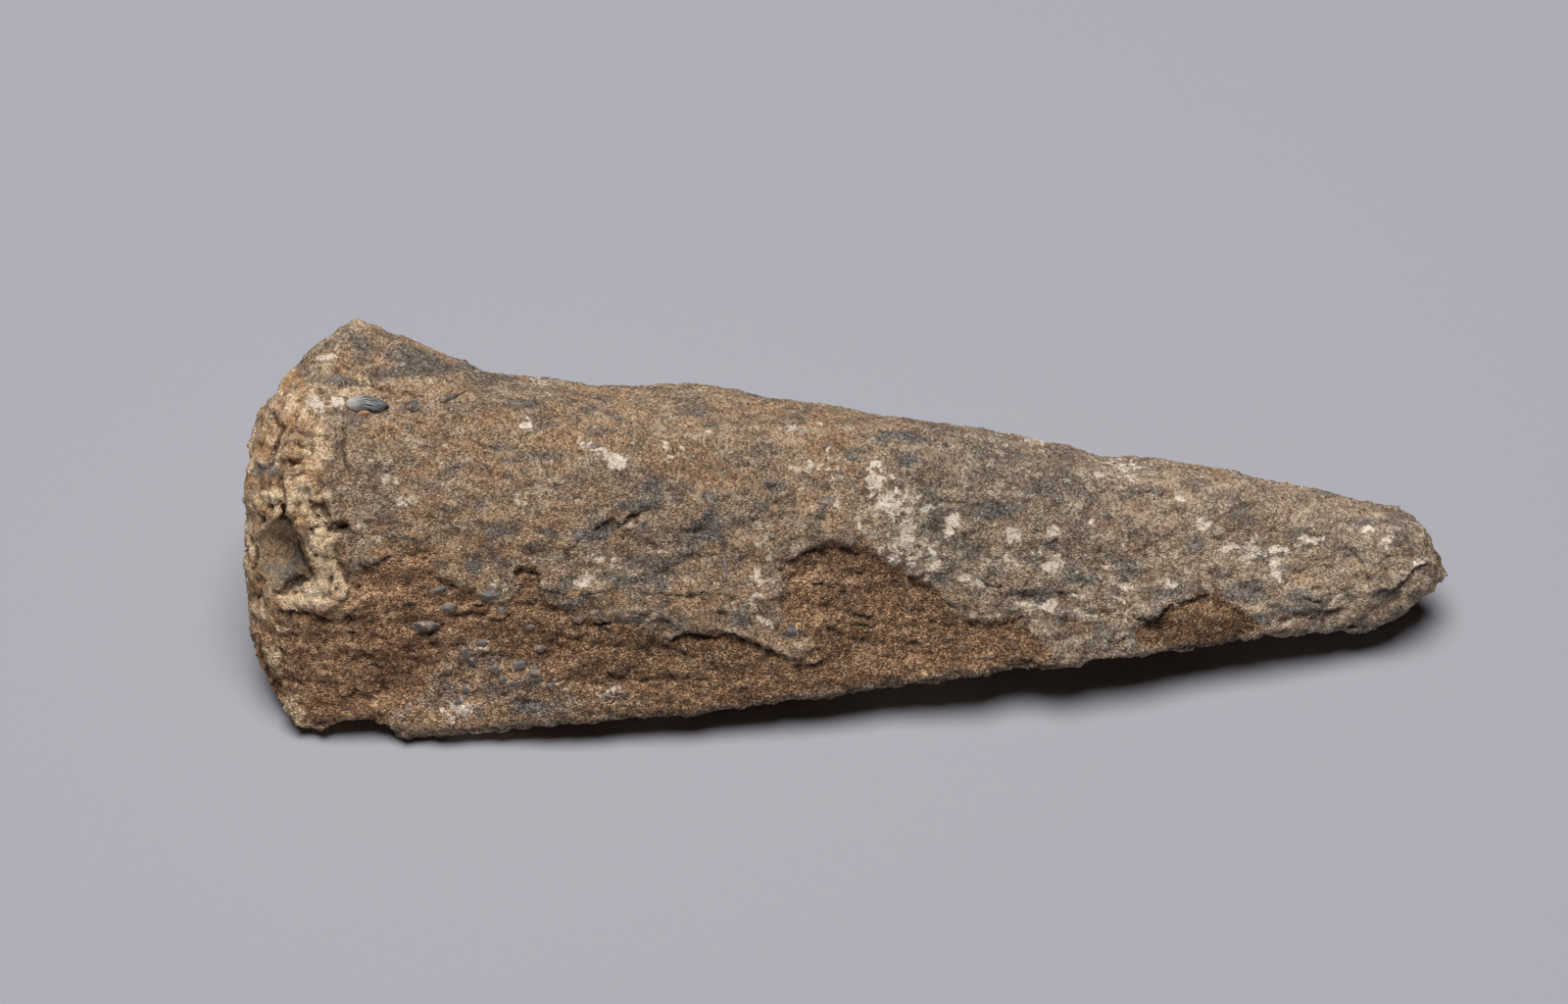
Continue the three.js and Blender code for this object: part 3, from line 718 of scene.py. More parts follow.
# the hollow attribute also carries the painted shadow under ledges, in cracks and in pits
plain = {**kind, "hollow": hollow + 1.1 * painted_shadow, "pebble": pebble_dark, "pulp": on_pulp_floor}
for name, values in plain.items():
    store(stone, name, values)
print("attributes:", [a.name for a in stone.data.attributes if not a.name.startswith(".")])

# %% [markdown]
# ## Spending triangles where they show
# The carved skin has more triangles than one piece may have. Collapsing edges takes them away where the
# surface is smooth, and keeps the edges of ledges and cracks. The attributes are carried along.

# %% Under the limit of triangles
MOST_TRIANGLES = 196_000

apply_modifier(stone, "DECIMATE", ratio=min(1, MOST_TRIANGLES / (2 * len(stone.data.polygons))))
print("triangles now:", sum(len(p.vertices) - 2 for p in stone.data.polygons))

# %% [markdown]
# ## Small things set in the stone
# Bits of slate, a few pebbles and a ribbed piece of shell are stuck in the sand. They are harder and smoother
# than the stone, so they are objects of their own. Each bit starts as a ball of twenty flat triangles whose
# corners move in or out by chance, which gives a broken chip. A bevel takes the sharpness off its edges, and
# a ray from the camera finds where it sits.

# %% Slate bits and pebbles
BITS = [  # across, down, half width, half height (pixels), tilt (degrees), how far it stands out (mm), tone
    (418, 415, 11, 7, 10, 0.7, 0.0), (433, 638, 14, 6, -4, 0.9, 0.1), (457, 620, 11, 6, -20, 0.6, 0.7),
    (447, 602, 9, 4, -15, 0.3, 0.8), (371, 421, 6, 4, 0, 0.5, 2.0), (474, 663, 9, 6, 30, 0.6, 0.7),
    (482, 674, 6, 5, 0, 0.5, 0.5), (498, 668, 5, 4, 40, 0.4, 0.8), (505, 681, 7, 7, 20, 0.5, 0.6),
    (514, 693, 6, 5, 0, 0.4, 0.4), (531, 677, 9, 6, -25, 0.7, 0.6), (545, 687, 8, 6, 15, 0.6, 0.7),
    (525, 697, 8, 6, 0, 0.5, 0.5), (551, 661, 7, 5, 0, 0.6, 0.5), (541, 639, 5, 4, 0, 0.5, 0.5),
    (500, 608, 12, 6, -8, 0.5, 0.6), (512, 622, 8, 6, 20, 0.6, 0.5), (562, 700, 6, 4, 10, 0.4, 0.7),
    (492, 655, 5, 4, 0, 0.4, 0.8), (1013, 597, 10, 5, 12, 0.5, 0.2), (1000, 590, 5, 3, 10, 0.3, 1.0),
    (393, 480, 5, 4, 0, 0.3, 0.2), (466, 476, 6, 3, 0, 0.3, 0.3), (724, 512, 6, 9, 10, 0.25, 0.7),
    (843, 513, 10, 6, -20, 0.35, 0.6), (668, 494, 10, 8, -20, 0.25, 0.5), (740, 578, 4, 14, 3, 0.2, 0.6),
    (657, 532, 8, 5, -10, 0.35, 0.6), (605, 457, 8, 5, -20, 0.25, 0.7), (641, 628, 10, 5, 0, 0.4, 0.6),
    (806, 645, 6, 7, 0, 0.4, 0.5), (455, 408, 5, 5, 0, 0.4, 0.8), (477, 702, 7, 5, 30, 0.4, 0.9),
    (466, 716, 6, 4, 0, 0.3, 1.0), (1130, 525, 6, 4, 20, 0.3, 0.5), (1170, 500, 12, 4, -12, 0.3, 0.6),
    (688, 440, 6, 3, 0, 0.2, 0.8), (784, 492, 9, 4, 0, 0.3, 0.7), (590, 632, 7, 4, 0, 0.4, 0.4),
]
BIT_SHOWS = 0.75  # the share of its height by which a bit really stands out, as sand has built up round it
BIT_THICK = 0.9  # its half thickness, as a share of its smaller half size
BIT_CORNERS = (0.75, 1.35)  # how far in and out its corners may move
BIT_BEVEL = 0.05 * MM
BIT_SEED = 5

surface = BVHTree.FromPolygons(corners(stone).tolist(), [list(p.vertices) for p in stone.data.polygons])


def hit(x, y):
    """How far the stone is from the camera at a pixel, in metres, and the way its surface faces there."""
    _, normal, _, far = surface.ray_cast(Vector(eye), sight_line(x, y))
    return far, np.array(normal)


def ball(name):
    """A new ball of twenty flat triangles."""
    bpy.ops.object.select_all(action="DESELECT")
    bpy.ops.mesh.primitive_ico_sphere_add(subdivisions=1, radius=1)
    bpy.context.object.name = name
    return bpy.context.object


bits = []
random = np.random.default_rng(BIT_SEED)
for number, (x, y, wide, high, tilt, out, tone) in enumerate(BITS):
    bit = ball(f"bit_{number}")
    unit = corners(bit)
    unit = unit * random.uniform(*BIT_CORNERS, len(unit))[:, None]
    turn = math.radians(tilt)
    right_of = axes[0] * math.cos(turn) - axes[1] * math.sin(turn)
    far, facing_out = hit(x, y)
    back_of = facing_out + axes[2]
    back_of /= np.linalg.norm(back_of)
    up_of = np.cross(back_of, right_of)
    up_of /= np.linalg.norm(up_of)
    half = np.array((wide, high, BIT_THICK * min(wide, high))) * MM_PER_PIXEL * MM
    centre = eye + np.array(sight_line(x, y)) * far + back_of * (BIT_SHOWS * out * MM - half[2])
    local = unit * half
    move_corners(bit, centre + local[:, :1] * right_of + local[:, 1:2] * up_of + local[:, 2:] * back_of)
    apply_modifier(bit, "BEVEL", width=BIT_BEVEL, segments=1, limit_method="NONE")
    store(bit, "tone", np.full(len(bit.data.vertices), tone))
    bits.append(bit)
pick(bits[0])
for bit in bits:
    bit.select_set(True)
bpy.ops.object.join()
slate_bits = bits[0]
slate_bits.name = "fossil_slate_bits"
slate_bits.data.shade_flat()
print("slate bits:", len(BITS), "with", len(slate_bits.data.polygons), "faces in all")

# %% [markdown]
# ## The shell
# The shell and a long slate sliver beside it have a shape of their own, so each is given by its upper and
# lower edge. A ball is stretched between the two edges, and bulges a little towards the camera and away from
# it.

# %% The shell and the sliver
SHELL_UPPER = [(353, 409), (357, 406), (364, 404), (373, 403), (382, 405), (390, 408.5), (397, 413)]
SHELL_LOWER = [(353, 414), (357, 418), (364, 421), (373, 419.5), (382, 421.5), (389, 420), (397, 413)]
SLIVER_UPPER = [(449, 409), (453, 405), (460, 402), (468, 399.5), (476, 398)]
SLIVER_LOWER = [(449, 410), (453, 412), (460, 409), (468, 404), (476, 399)]


def pod(name, upper, lower, bulge, out):
    """A closed, lens-shaped piece between two edges given in pixels. bulge and out are in millimetres."""
    bpy.ops.object.select_all(action="DESELECT")
    bpy.ops.mesh.primitive_uv_sphere_add(segments=48, ring_count=40, radius=1)
    piece = bpy.context.object
    piece.name = name
    x, y, z = corners(piece).T
    share = (1 + z) / 2
    girth = np.maximum(np.hypot(x, y), 1e-6)
    start, end = upper[0][0], upper[-1][0]
    column = start + share * (end - start)
    top, bottom = np.interp(column, *zip(*upper)), np.interp(column, *zip(*lower))
    row = (top + bottom) / 2 + x / girth * (bottom - top) / 2
    stops = np.linspace(0.1, 0.9, 7)
    columns = start + stops * (end - start)
    rows = [(np.interp(c, *zip(*upper)) + np.interp(c, *zip(*lower))) / 2 for c in columns]
    depths = [hit(c, r)[0] for c, r in zip(columns, rows)]
    far = np.polyval(np.polyfit(stops, depths, 2), share) - out * MM - y * bulge * MM
    directions = np.array([sight_line(c, r) for c, r in zip(column, row)])
    move_corners(piece, eye + directions * far[:, None])
    pick(piece)
    bpy.ops.object.mode_set(mode="EDIT")
    bpy.ops.mesh.select_all(action="SELECT")
    bpy.ops.mesh.normals_make_consistent(inside=False)
    bpy.ops.object.mode_set(mode="OBJECT")
    store(piece, "run", share)
    store(piece, "across", x / girth)
    piece.data.shade_smooth()
    return piece


shell = pod("fossil_shell", SHELL_UPPER, SHELL_LOWER, bulge=1.0, out=0.35)
sliver = pod("fossil_sliver", SLIVER_UPPER, SLIVER_LOWER, bulge=0.5, out=0.15)
print("shell and sliver:", len(shell.data.polygons) + len(sliver.data.polygons), "faces")

# %% [markdown]
# ## The stone's material
# Stone is never one colour. The material starts from a few earth colours, mixes them in blotches of several
# sizes, breaks them into sand grains, and then adds what the attributes say. `Nodes` keeps the node code
# readable: each call adds a node, links what is passed in and gives back its output.

# %% Helpers for node trees


class Nodes:
    """Adds nodes to one node tree."""

    def __init__(self, tree):
        self.tree = tree

    def add(self, kind, output=0, inputs=None, **settings):
        """Adds a shader node and gives back one of its outputs. An input is a value or another output."""
        node = self.tree.nodes.new("ShaderNode" + kind)
        for name, value in settings.items():
            setattr(node, name, value)
        for name, value in (inputs or {}).items():
            self.feed(node.inputs[name], value)
        return node.outputs[output]

    def feed(self, socket, value):
        if isinstance(value, bpy.types.NodeSocket):
            self.tree.links.new(value, socket)
        else:
            socket.default_value = value

    def math(self, operation, *values, clamp=False):
        return self.add("Math", operation=operation, use_clamp=clamp, inputs=dict(enumerate(values)))

    def ramp(self, value, low, high, to_low=0.0, to_high=1.0):
        """to_low where value is under low, to_high where it is over high, and a smooth change between."""
        return self.add("MapRange", interpolation_type="SMOOTHSTEP", inputs={
            "Value": value, "From Min": low, "From Max": high, "To Min": to_low, "To Max": to_high})

    def mix(self, share, first, second, blend="MIX"):
        """The first colour where share is 0, the second where it is 1."""
        return self.add("Mix", output=2, data_type="RGBA", blend_type=blend,
                        inputs={0: share, 6: first, 7: second})

    def noise(self, place, size, detail, roughness):
        """Noise of about 0 to 1 with its largest lumps about size millimetres across."""
        scaled = self.add("Mapping", vector_type="TEXTURE",
                          inputs={"Vector": place, "Scale": (size * MM,) * 3})
        return self.add("TexNoise", inputs={"Vector": scaled, "Scale": 1.0, "Detail": detail,
                                            "Roughness": roughness})

    def attribute(self, name):
        return self.add("Attribute", output="Fac", attribute_name=name)


def new_group(name, inputs, outputs):
    """A new node group: its tree, its node helper, its given inputs and its outputs, both by name."""
    tree = bpy.data.node_groups.new(name, "ShaderNodeTree")
    kinds_of = {"value": "NodeSocketFloat", "vector": "NodeSocketVector"}
    for socket, (kind_of, value) in inputs.items():
        made = tree.interface.new_socket(socket, in_out="INPUT", socket_type=kinds_of[kind_of])
        if value is not None:
            made.default_value = value
    for socket, kind_of in outputs.items():
        tree.interface.new_socket(socket, in_out="OUTPUT", socket_type=kinds_of[kind_of])
    given = tree.nodes.new("NodeGroupInput")
    result = tree.nodes.new("NodeGroupOutput")
    return tree, Nodes(tree), given.outputs, result.inputs


def new_material(name):
    """A new material, its node helper and its Principled BSDF."""
    material = bpy.data.materials.new(name)
    material.use_nodes = True
    nodes = Nodes(material.node_tree)
    return material, nodes, material.node_tree.nodes["Principled BSDF"]


def place_group(nodes, tree, inputs):
    """Puts a node group into a material with the given inputs, and gives back its outputs."""
    node = nodes.tree.nodes.new("ShaderNodeGroup")
    node.node_tree = tree
    for name, value in inputs.items():
        nodes.feed(node.inputs[name], value)
    return node.outputs


print("a node helper can", [name for name in vars(Nodes) if not name.startswith("_")])

# %% [markdown]
# ### Sand grains
# A Voronoi texture divides space into cells, one for each grain. Every cell has three random numbers of its
# own. The material uses them to decide grain by grain which of two colours shows, and how bright it is. The
# distance to the cell's middle makes each grain a small bump, and a coarser set of cells adds small clumps.

# %% The sand grain group
grains, g, given, result = new_group(
    "Sand grains",
    {"Place": ("vector", None), "Size mm": ("value", 0.3), "Clump mm": ("value", 0.8)},
    {"Chance": "value", "Shade": "value", "Sort": "value", "Gap": "value", "Height": "value",
     "Clump height": "value"})
cells = {"Vector": given["Place"], "Scale": g.math("DIVIDE", 1 / MM, given["Size mm"]), "Randomness": 1.0}
grain_colour = g.add("TexVoronoi", output="Color", inputs=cells)
grain_distance = g.add("TexVoronoi", output="Distance", inputs=cells)
clumps = {**cells, "Scale": g.math("DIVIDE", 1 / MM, given["Clump mm"])}
clump_colour = g.add("TexVoronoi", output="Color", inputs=clumps)
clump_distance = g.add("TexVoronoi", output="Distance", feature="SMOOTH_F1",
                       inputs={**clumps, "Smoothness": 0.5})
clump_shade = g.add("SeparateColor", output=1, inputs={0: clump_colour})
grain_shade = g.add("SeparateColor", output=1, inputs={0: grain_colour})
g.feed(result["Chance"], g.add("SeparateColor", output=0, inputs={0: grain_colour}))
g.feed(result["Shade"], g.math("MULTIPLY_ADD", grain_shade, 0.7, g.math("MULTIPLY", clump_shade, 0.3)))
g.feed(result["Sort"], g.add("SeparateColor", output=2, inputs={0: grain_colour}))
g.feed(result["Gap"], grain_distance)
grain_lift, clump_lift = g.math("MULTIPLY", grain_shade, 0.35), g.math("MULTIPLY", clump_shade, 0.5)
g.feed(result["Height"], g.math("MULTIPLY_ADD", grain_distance, -1.0, grain_lift))
g.feed(result["Clump height"], g.math("MULTIPLY_ADD", clump_distance, -1.0, clump_lift))
print("sand grains:", len(grains.nodes), "nodes, with outputs", [socket.name for socket in result[:-1]])

# %% [markdown]
# ### Blotches
# Earth colours come in patches with soft, broken edges. This group turns noise into such a mask: `Amount` is
# about how much of the surface the patches cover, and `Softness` how gently they fade.

# %% The blotch group
blotches, g, given, result = new_group(
    "Blotches",
    {"Place": ("vector", None), "Size mm": ("value", 5.0), "Amount": ("value", 0.5),
     "Softness": ("value", 0.1), "Along": ("value", 1.6)},
    {"Mask": "value"})
stretch = g.add("CombineXYZ", inputs={0: given["Along"], 1: 1.0, 2: 1.0})
stretched = g.add("VectorMath", operation="DIVIDE", inputs={0: given["Place"], 1: stretch})
pattern = g.add("TexNoise", inputs={"Vector": stretched, "Scale": g.math("DIVIDE", 1 / MM, given["Size mm"]),
                                    "Detail": 5.0, "Roughness": 0.6})
middle_at = g.math("MULTIPLY_ADD", given["Amount"], -0.4, 0.7)
g.feed(result["Mask"], g.ramp(pattern, g.math("SUBTRACT", middle_at, given["Softness"]),
                              g.math("ADD", middle_at, given["Softness"])))
print("blotches:", len(blotches.nodes), "nodes")

# %% [markdown]
# ### Skin, scar and bone
# Each kind of surface is a few earth colours laid over each other in blotches of several sizes. The skin
# changes along the stone as well: warmer near the root, dustier near the tip. `by_grain` lets single grains
# at a blotch's edge take the one colour or the other, as real sand does, and `region` turns a number that
# the corners carry into a mask with a frayed edge.

# %% The stone's colours
SKIN_TAN = (0.615, 0.400, 0.236, 1)
SKIN_DUST = (0.545, 0.415, 0.298, 1)
SKIN_GREY = (0.345, 0.257, 0.190, 1)
SKIN_OCHRE = (0.560, 0.340, 0.190, 1)
SKIN_LIGHT = (0.720, 0.560, 0.400, 1)
SKIN_SLATE = (0.190, 0.165, 0.145, 1)
SCAR_BROWN = (0.460, 0.260, 0.142, 1)
SCAR_ORANGE = (0.630, 0.372, 0.203, 1)
SCAR_SHADE = (0.240, 0.130, 0.070, 1)
BONE_CREAM = (0.940, 0.690, 0.430, 1)
BONE_TAN = (0.620, 0.360, 0.180, 1)
BONE_HOLLOW_SHADE = (0.330, 0.185, 0.090, 1)
CALCITE = (0.980, 0.830, 0.670, 1)
SLATE_BLUE = (0.190, 0.184, 0.180, 1)
RUST_BROWN = (0.480, 0.255, 0.120, 1)
PEBBLE_BLACK = (0.060, 0.062, 0.066, 1)
QUARTZ = (0.720, 0.620, 0.500, 1)
IRON = (0.110, 0.070, 0.045, 1)
HOLLOW_SHADE = (0.100, 0.060, 0.036, 1)
CLAY = (0.520, 0.375, 0.230, 1)
print("the skin's tan has", round(SKIN_TAN[0] / SCAR_BROWN[0], 2), "times the red of the scar's brown")

# %% Masks for the stone's material
GRAIN_SIZE, CLUMP_SIZE = 0.25, 0.7  # millimetres

stone_material, m, shader = new_material("sandy_fossil_stone")
place = m.add("TexCoord", output="Object")
sand = place_group(m, grains, {"Place": place, "Size mm": GRAIN_SIZE, "Clump mm": CLUMP_SIZE})
broken = m.noise(place, 1.6, detail=5, roughness=0.7)
fray = m.math("MULTIPLY", m.math("SUBTRACT", broken, 0.5), 2.0)


def mask_of(size, amount, softness=0.1, streak=1.6):
    """Blotches about size millimetres across, streak times longer along the stone."""
    return place_group(m, blotches, {"Place": place, "Size mm": size, "Amount": amount,
                                     "Softness": softness, "Along": streak})["Mask"]


def by_grain(mask, strength=1.0, grainy=0.36):
    """Breaks a soft mask into grains: near its edge some grains take the colour and some don't."""
    shifted = m.math("MULTIPLY_ADD", m.math("SUBTRACT", sand["Chance"], 0.5), grainy, mask)
    return m.math("MULTIPLY", m.ramp(shifted, 0.25, 0.75), strength)


def region(name, low, high, rough_edge):
    """A mask from an attribute, 0 under low and 1 over high, with its edge broken up by noise."""
    frayed = m.math("MULTIPLY_ADD", fray, rough_edge, m.attribute(name))
    return m.ramp(frayed, low, high)


print("nodes so far:", len(stone_material.node_tree.nodes))

# %% The colour of each kind of surface
across = m.add("SeparateXYZ", output=0, inputs={0: place})
ochre_share = m.ramp(across, -4 * MM, 16 * MM, 0.8, 0.15)
dust_share = m.ramp(across, -6 * MM, 20 * MM, 0.1, 0.75)
grey_share = m.ramp(across, -10 * MM, 14 * MM, 0.5, 0.8)
skin = m.mix(dust_share, SKIN_TAN, SKIN_DUST)
skin = m.mix(m.math("MULTIPLY", by_grain(mask_of(9, 0.5, 0.16)), grey_share), skin, SKIN_GREY)
skin = m.mix(m.math("MULTIPLY", by_grain(mask_of(5, 0.45, 0.12)), ochre_share), skin, SKIN_OCHRE)
skin = m.mix(by_grain(mask_of(2.6, 0.42, 0.10), 0.60), skin, SKIN_SLATE)
skin = m.mix(by_grain(mask_of(1.7, 0.36, 0.08), 0.6), skin, SKIN_LIGHT)
scarred = m.mix(by_grain(mask_of(3.5, 0.45, 0.14)), SCAR_BROWN, SCAR_ORANGE)
scarred = m.mix(by_grain(mask_of(2.0, 0.42, 0.12, 2.4), 0.7), scarred, SCAR_SHADE)
bone = m.mix(by_grain(mask_of(3.0, 0.6, 0.12, 1.0)), BONE_CREAM, BONE_TAN)
bone = m.mix(by_grain(mask_of(4, 0.42, 0.1, 1.0), 0.6), bone, SKIN_GREY)
bone = m.mix(m.math("MULTIPLY", by_grain(m.attribute("buff")), 0.85), bone, BONE_CREAM)
# painted shade: the root end's hollows are darkened
bone = m.mix(m.ramp(m.attribute("hollow"), 0.08, 0.7, 0.0, 0.7), bone, BONE_HOLLOW_SHADE)
bone = m.mix(m.math("MULTIPLY", m.attribute("pulp"), 0.75), bone, CLAY)
crusted = m.mix(by_grain(mask_of(2.5, 0.5, 0.12)), SKIN_GREY, SKIN_TAN)
print("nodes so far:", len(stone_material.node_tree.nodes))

# %% [markdown]
# ### Stains and painted shade
# The scar, the crust and the root end are laid over the skin, and the stains over all of them: rust, slate
# and dark patches first, then calcite, which covers whatever is under it. In the small scar near the tip the
# dark patches are painted shadow under its ledge. Painted shade darkens the hollows, cracks and undercuts,
# and what stands proud is painted a little paler, as a painted highlight.

# %% Stains and painted shade
in_scar = region("scar", -0.25, 0.4, 1.0)
in_crust = region("crust", -1.0, 1.2, 2.2)
in_root = region("root", -1.0, 1.0, 2.4)
colour = m.mix(in_scar, skin, scarred)
colour = m.mix(m.math("MULTIPLY", by_grain(in_crust, 0.8), in_scar), colour, crusted)
colour = m.mix(in_root, colour, bone)
colour = m.mix(m.math("MULTIPLY", by_grain(m.attribute("buff")), 0.7), colour, BONE_CREAM)
colour = m.mix(m.math("MULTIPLY", region("rim", 0.4, 0.7, 0.5), 0.8), colour, SKIN_GREY)
colour = m.mix(by_grain(region("rusty", 0.1, 1.2, 0.5), 0.38), colour, RUST_BROWN)
colour = m.mix(by_grain(region("slate", 0.10, 1.0, 0.5), 0.64), colour, SLATE_BLUE)
# in the scar the dark ovals take the scar's dark brown, as painted shadow under the small scar's ledge
colour = m.mix(by_grain(region("dark", 0.1, 1.0, 0.7), 0.72), colour, m.mix(in_scar, SKIN_SLATE, SCAR_SHADE))
spotty = m.noise(place, 0.8, detail=3, roughness=0.55)
dotted = m.math("MULTIPLY_ADD", m.math("SUBTRACT", spotty, 0.5), 2.0, m.attribute("white"))
whitened = m.math("MULTIPLY", m.ramp(dotted, 0.28, 0.72), m.ramp(m.attribute("white"), 0.02, 0.2, 0.0, 0.95))
colour = m.mix(whitened, colour, CALCITE)
pebbled = m.math("MULTIPLY", m.attribute("pebble"), m.ramp(m.attribute("pebble"), 0.1, 0.3))
colour = m.mix(pebbled, colour, PEBBLE_BLACK)

# painted shade: hollows, cracks and the undercuts under ledges are darkened
hollowness = m.math("MULTIPLY_ADD", fray, 0.10, m.attribute("hollow"))
colour = m.mix(m.ramp(hollowness, 0.08, 0.8, 0.0, 0.7), colour, HOLLOW_SHADE)
# painted highlight: what stands proud is made paler
colour = m.mix(m.ramp(hollowness, -0.6, -0.1, 0.3, 0.0), colour, m.mix(0.5, colour, CALCITE))
print("nodes so far:", len(stone_material.node_tree.nodes))

# %% [markdown]
# ### Grain by grain
# Close up, sand is light and dark grains side by side, with a few pale quartz and dark iron grains among
# them. Every grain brightens or darkens the colour under it, partly by its own tone and partly as painted
# light and shade on its top, most of all in the fresh scar and least in the calcite. The gaps between grains
# are painted shade. A dark grain loses more blue than red, as warm painted shade, and never turns black, so
# that the stone stays warm.

# %% Light and dark grains
QUARTZ_OVER, IRON_UNDER = 0.96, 0.07  # each grain's sort runs from 0 to 1, and its two ends are these grains
DARKEST_GRAIN = 0.38  # no grain is darker than this share of the colour around it

smooth_parts = m.math("MAXIMUM", whitened, m.math("MULTIPLY", in_root, 0.45))
graininess = m.math("MULTIPLY", m.math("MULTIPLY_ADD", in_scar, 0.55, 1.0),
                    m.math("MULTIPLY_ADD", smooth_parts, -0.65, 1.0))
quartz = m.math("MULTIPLY", m.math("GREATER_THAN", sand["Sort"], QUARTZ_OVER), 0.55)
iron = m.math("MULTIPLY", m.math("LESS_THAN", sand["Sort"], IRON_UNDER), 0.5)
for chosen, grain_colour in ((quartz, QUARTZ), (iron, IRON)):
    fewer = m.math("MULTIPLY", chosen, m.math("MULTIPLY_ADD", in_scar, -0.6, 1.0))
    colour = m.mix(fewer, colour, grain_colour)
fine = m.noise(place, 0.30, detail=2, roughness=0.6)
# partly each grain's own tone, partly painted light and shade on the grains' tops
speckle = m.math("ADD", m.math("MULTIPLY", m.math("SUBTRACT", sand["Shade"], 0.5), 1.2),
                 m.math("MULTIPLY", m.math("SUBTRACT", fine, 0.5), 1.9))
# painted shade in the gaps between grains
gaps = m.ramp(sand["Gap"], 0.35, 0.8, 0.04, -0.14)
change = m.math("MULTIPLY", m.math("ADD", speckle, gaps), graininess)
# the scar is paler near the root end, and darker towards the tip, where the darkening is painted shadow under
# the small scar's ledge
scar_tone_and_shadow = m.math("ADD", m.ramp(across, -58 * MM, -25 * MM, 0.28, -0.05),
                    m.ramp(across, 30 * MM, 50 * MM, 0.0, -0.14))
paler = m.mix(in_scar, m.ramp(across, 20 * MM, 60 * MM, 0.0, 0.20), scar_tone_and_shadow)
level = m.math("ADD", paler, m.ramp(m.math("MAXIMUM", whitened, in_root), 0.0, 1.0, 0.87, 1.0))
wash = [m.math("MAXIMUM", m.math("MULTIPLY_ADD", change, share, level), DARKEST_GRAIN)
        for share in (0.85, 1.0, 1.1)]
colour = m.mix(1.0, colour, m.add("CombineColor", inputs=dict(enumerate(wash))), blend="MULTIPLY")
m.feed(shader.inputs["Base Color"], colour)
shader.inputs["Roughness"].default_value = 0.9
shader.inputs["Specular IOR Level"].default_value = 0.3
print("nodes so far:", len(stone_material.node_tree.nodes))

# %% [markdown]
# ### Grit that can be felt
# The mesh is too coarse for single grains, so they stand out by a Bump node: the grains themselves, the
# clumps they form, most of all in the scar, and a coarser noise that keeps the surface from looking even.

# %% The bumps, and the material on the stone
coarse = m.noise(place, 1.1, detail=5, roughness=0.75)
clumped = m.math("MULTIPLY", sand["Clump height"], m.math("MULTIPLY_ADD", in_scar, 0.22, 0.06))
grains_stand = m.math("MULTIPLY", m.math("MULTIPLY", sand["Height"], 0.20), graininess)
grit = m.math("ADD", m.math("ADD", grains_stand, clumped), m.math("MULTIPLY", coarse, 0.6))
roughened = m.add("Bump", inputs={"Strength": 1.0, "Distance": 1.0 * MM, "Height": grit})
m.feed(shader.inputs["Normal"], roughened)
stone.data.materials.clear()
stone.data.materials.append(stone_material)
stone.data.shade_smooth()
print("material nodes:", len(stone_material.node_tree.nodes))

# %% [markdown]
# ### Slate, pebbles and shell
# The bits share one material: `tone` runs from nearly black at 0 over grey at 1 to the brown of a rusty
# pebble at 2, and sand clings to them in patches. The shell is smooth and glossy, with fine growth lines
# along it.

# %% The slate's material
SLATE_GREY = (0.150, 0.150, 0.153, 1)
SLIVER_TONE = 0.5

slate_material, m, shader = new_material("slate_and_pebbles")
place = m.add("TexCoord", output="Object")
tone = m.attribute("tone")
dusty = m.noise(place, 0.8, detail=5, roughness=0.7)
colour = m.mix(m.ramp(tone, 0.0, 1.0), PEBBLE_BLACK, SLATE_GREY)
colour = m.mix(m.ramp(tone, 1.2, 1.9), colour, RUST_BROWN)
colour = m.mix(m.ramp(dusty, 0.47, 0.64, 0.05, 0.70), colour, SCAR_ORANGE)
m.feed(shader.inputs["Base Color"], colour)
m.feed(shader.inputs["Roughness"], m.ramp(tone, 0.0, 1.0, 0.3, 0.6))
dented = m.add("Bump", inputs={"Strength": 0.6, "Distance": 0.3 * MM, "Height": dusty})
m.feed(shader.inputs["Normal"], dented)
for piece in (slate_bits, sliver):
    piece.data.materials.append(slate_material)
store(sliver, "tone", np.full(len(sliver.data.vertices), SLIVER_TONE))
print("slate nodes:", len(slate_material.node_tree.nodes))

# %% The shell's material
SHELL_DARK = (0.045, 0.048, 0.055, 1)
SHELL_STREAK = (0.520, 0.520, 0.530, 1)
SHELL_PALE = (0.700, 0.640, 0.560, 1)

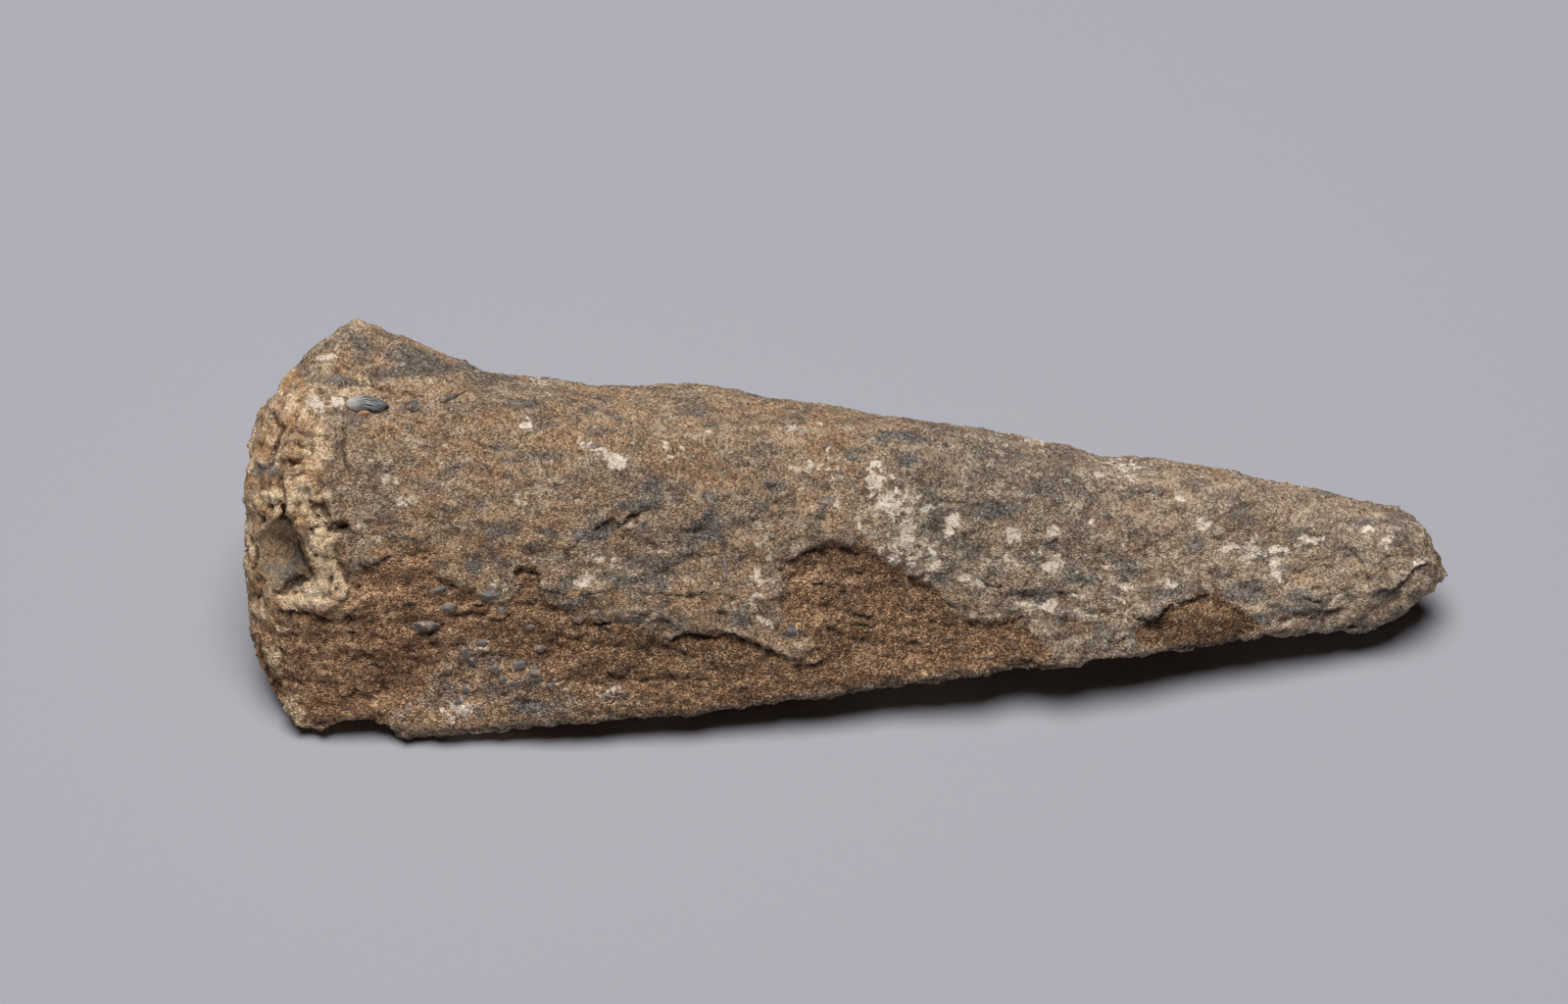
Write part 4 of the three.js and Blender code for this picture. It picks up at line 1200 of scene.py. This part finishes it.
shell_material, m, shader = new_material("glossy_shell")
run, over = m.attribute("run"), m.attribute("across")
lines_at = m.add("CombineXYZ", inputs={0: m.math("MULTIPLY", run, 1.6), 1: m.math("MULTIPLY", over, 5.0)})
growth = m.add("TexNoise", inputs={"Vector": lines_at, "Scale": 1.6, "Detail": 3.0, "Roughness": 0.6})
colour = m.mix(m.ramp(growth, 0.44, 0.60, 0.0, 0.85), SHELL_DARK, SHELL_STREAK)
colour = m.mix(m.ramp(run, 0.05, 0.5, 0.9, 0.0), colour, SHELL_PALE)
m.feed(shader.inputs["Base Color"], colour)
shader.inputs["Roughness"].default_value = 0.25
ribbed = m.add("Bump", inputs={"Strength": 0.7, "Distance": 0.3 * MM, "Height": growth})
m.feed(shader.inputs["Normal"], ribbed)
shell.data.materials.append(shell_material)
print("materials:", [m.name for m in bpy.data.materials])

# %% [markdown]
# ## The floor and the light
# The stone lies on a plain, pale blue-grey sheet. One large soft lamp hangs almost overhead, a little to the
# left, so every overhang throws a thin shadow straight down. There is hardly any other light, which keeps the
# contact shadow under the stone deep.

# %% Floor and lights
FLOOR_SIZE = 6  # metres
PAPER = (0.420, 0.420, 0.462, 1)
LAMP_AT = Vector((-0.08, 0.0, 1.35))
LAMP_SIZE, LAMP_POWER = 1.0, 21.0  # metres, watts
ROOM_LIGHT = 0.001

bpy.ops.object.select_all(action="DESELECT")
bpy.ops.mesh.primitive_plane_add(size=FLOOR_SIZE)
floor = bpy.context.object
floor.name = "floor"
floor_material, _, floor_shader = new_material("floor_paper")
floor_shader.inputs["Base Color"].default_value = PAPER
floor_shader.inputs["Roughness"].default_value = 0.95
floor_shader.inputs["Specular IOR Level"].default_value = 0.1
floor.data.materials.append(floor_material)

lamp_data = bpy.data.lights.new("softbox", "AREA")
lamp_data.shape = "DISK"
lamp_data.size = LAMP_SIZE
lamp_data.energy = LAMP_POWER
lamp = bpy.data.objects.new("softbox", lamp_data)
lamp.location = LAMP_AT
lamp.rotation_euler = (-LAMP_AT).to_track_quat("-Z", "Y").to_euler()
bpy.context.collection.objects.link(lamp)

world = bpy.data.worlds.new("room")
bpy.context.scene.world = world
world.use_nodes = True
world.node_tree.nodes["Background"].inputs["Color"].default_value = (1, 1, 1, 1)
world.node_tree.nodes["Background"].inputs["Strength"].default_value = ROOM_LIGHT
bpy.context.scene.view_settings.view_transform = "Standard"
print("floor", FLOOR_SIZE, "m wide, lamp", LAMP_SIZE, "m wide and", round(LAMP_AT.z, 2), "m above it")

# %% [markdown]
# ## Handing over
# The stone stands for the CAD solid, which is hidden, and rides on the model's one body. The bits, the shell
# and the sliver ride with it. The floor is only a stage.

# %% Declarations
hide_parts("tooth_fossil")
for piece in (stone, slate_bits, shell, sliver):
    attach(piece, "root")
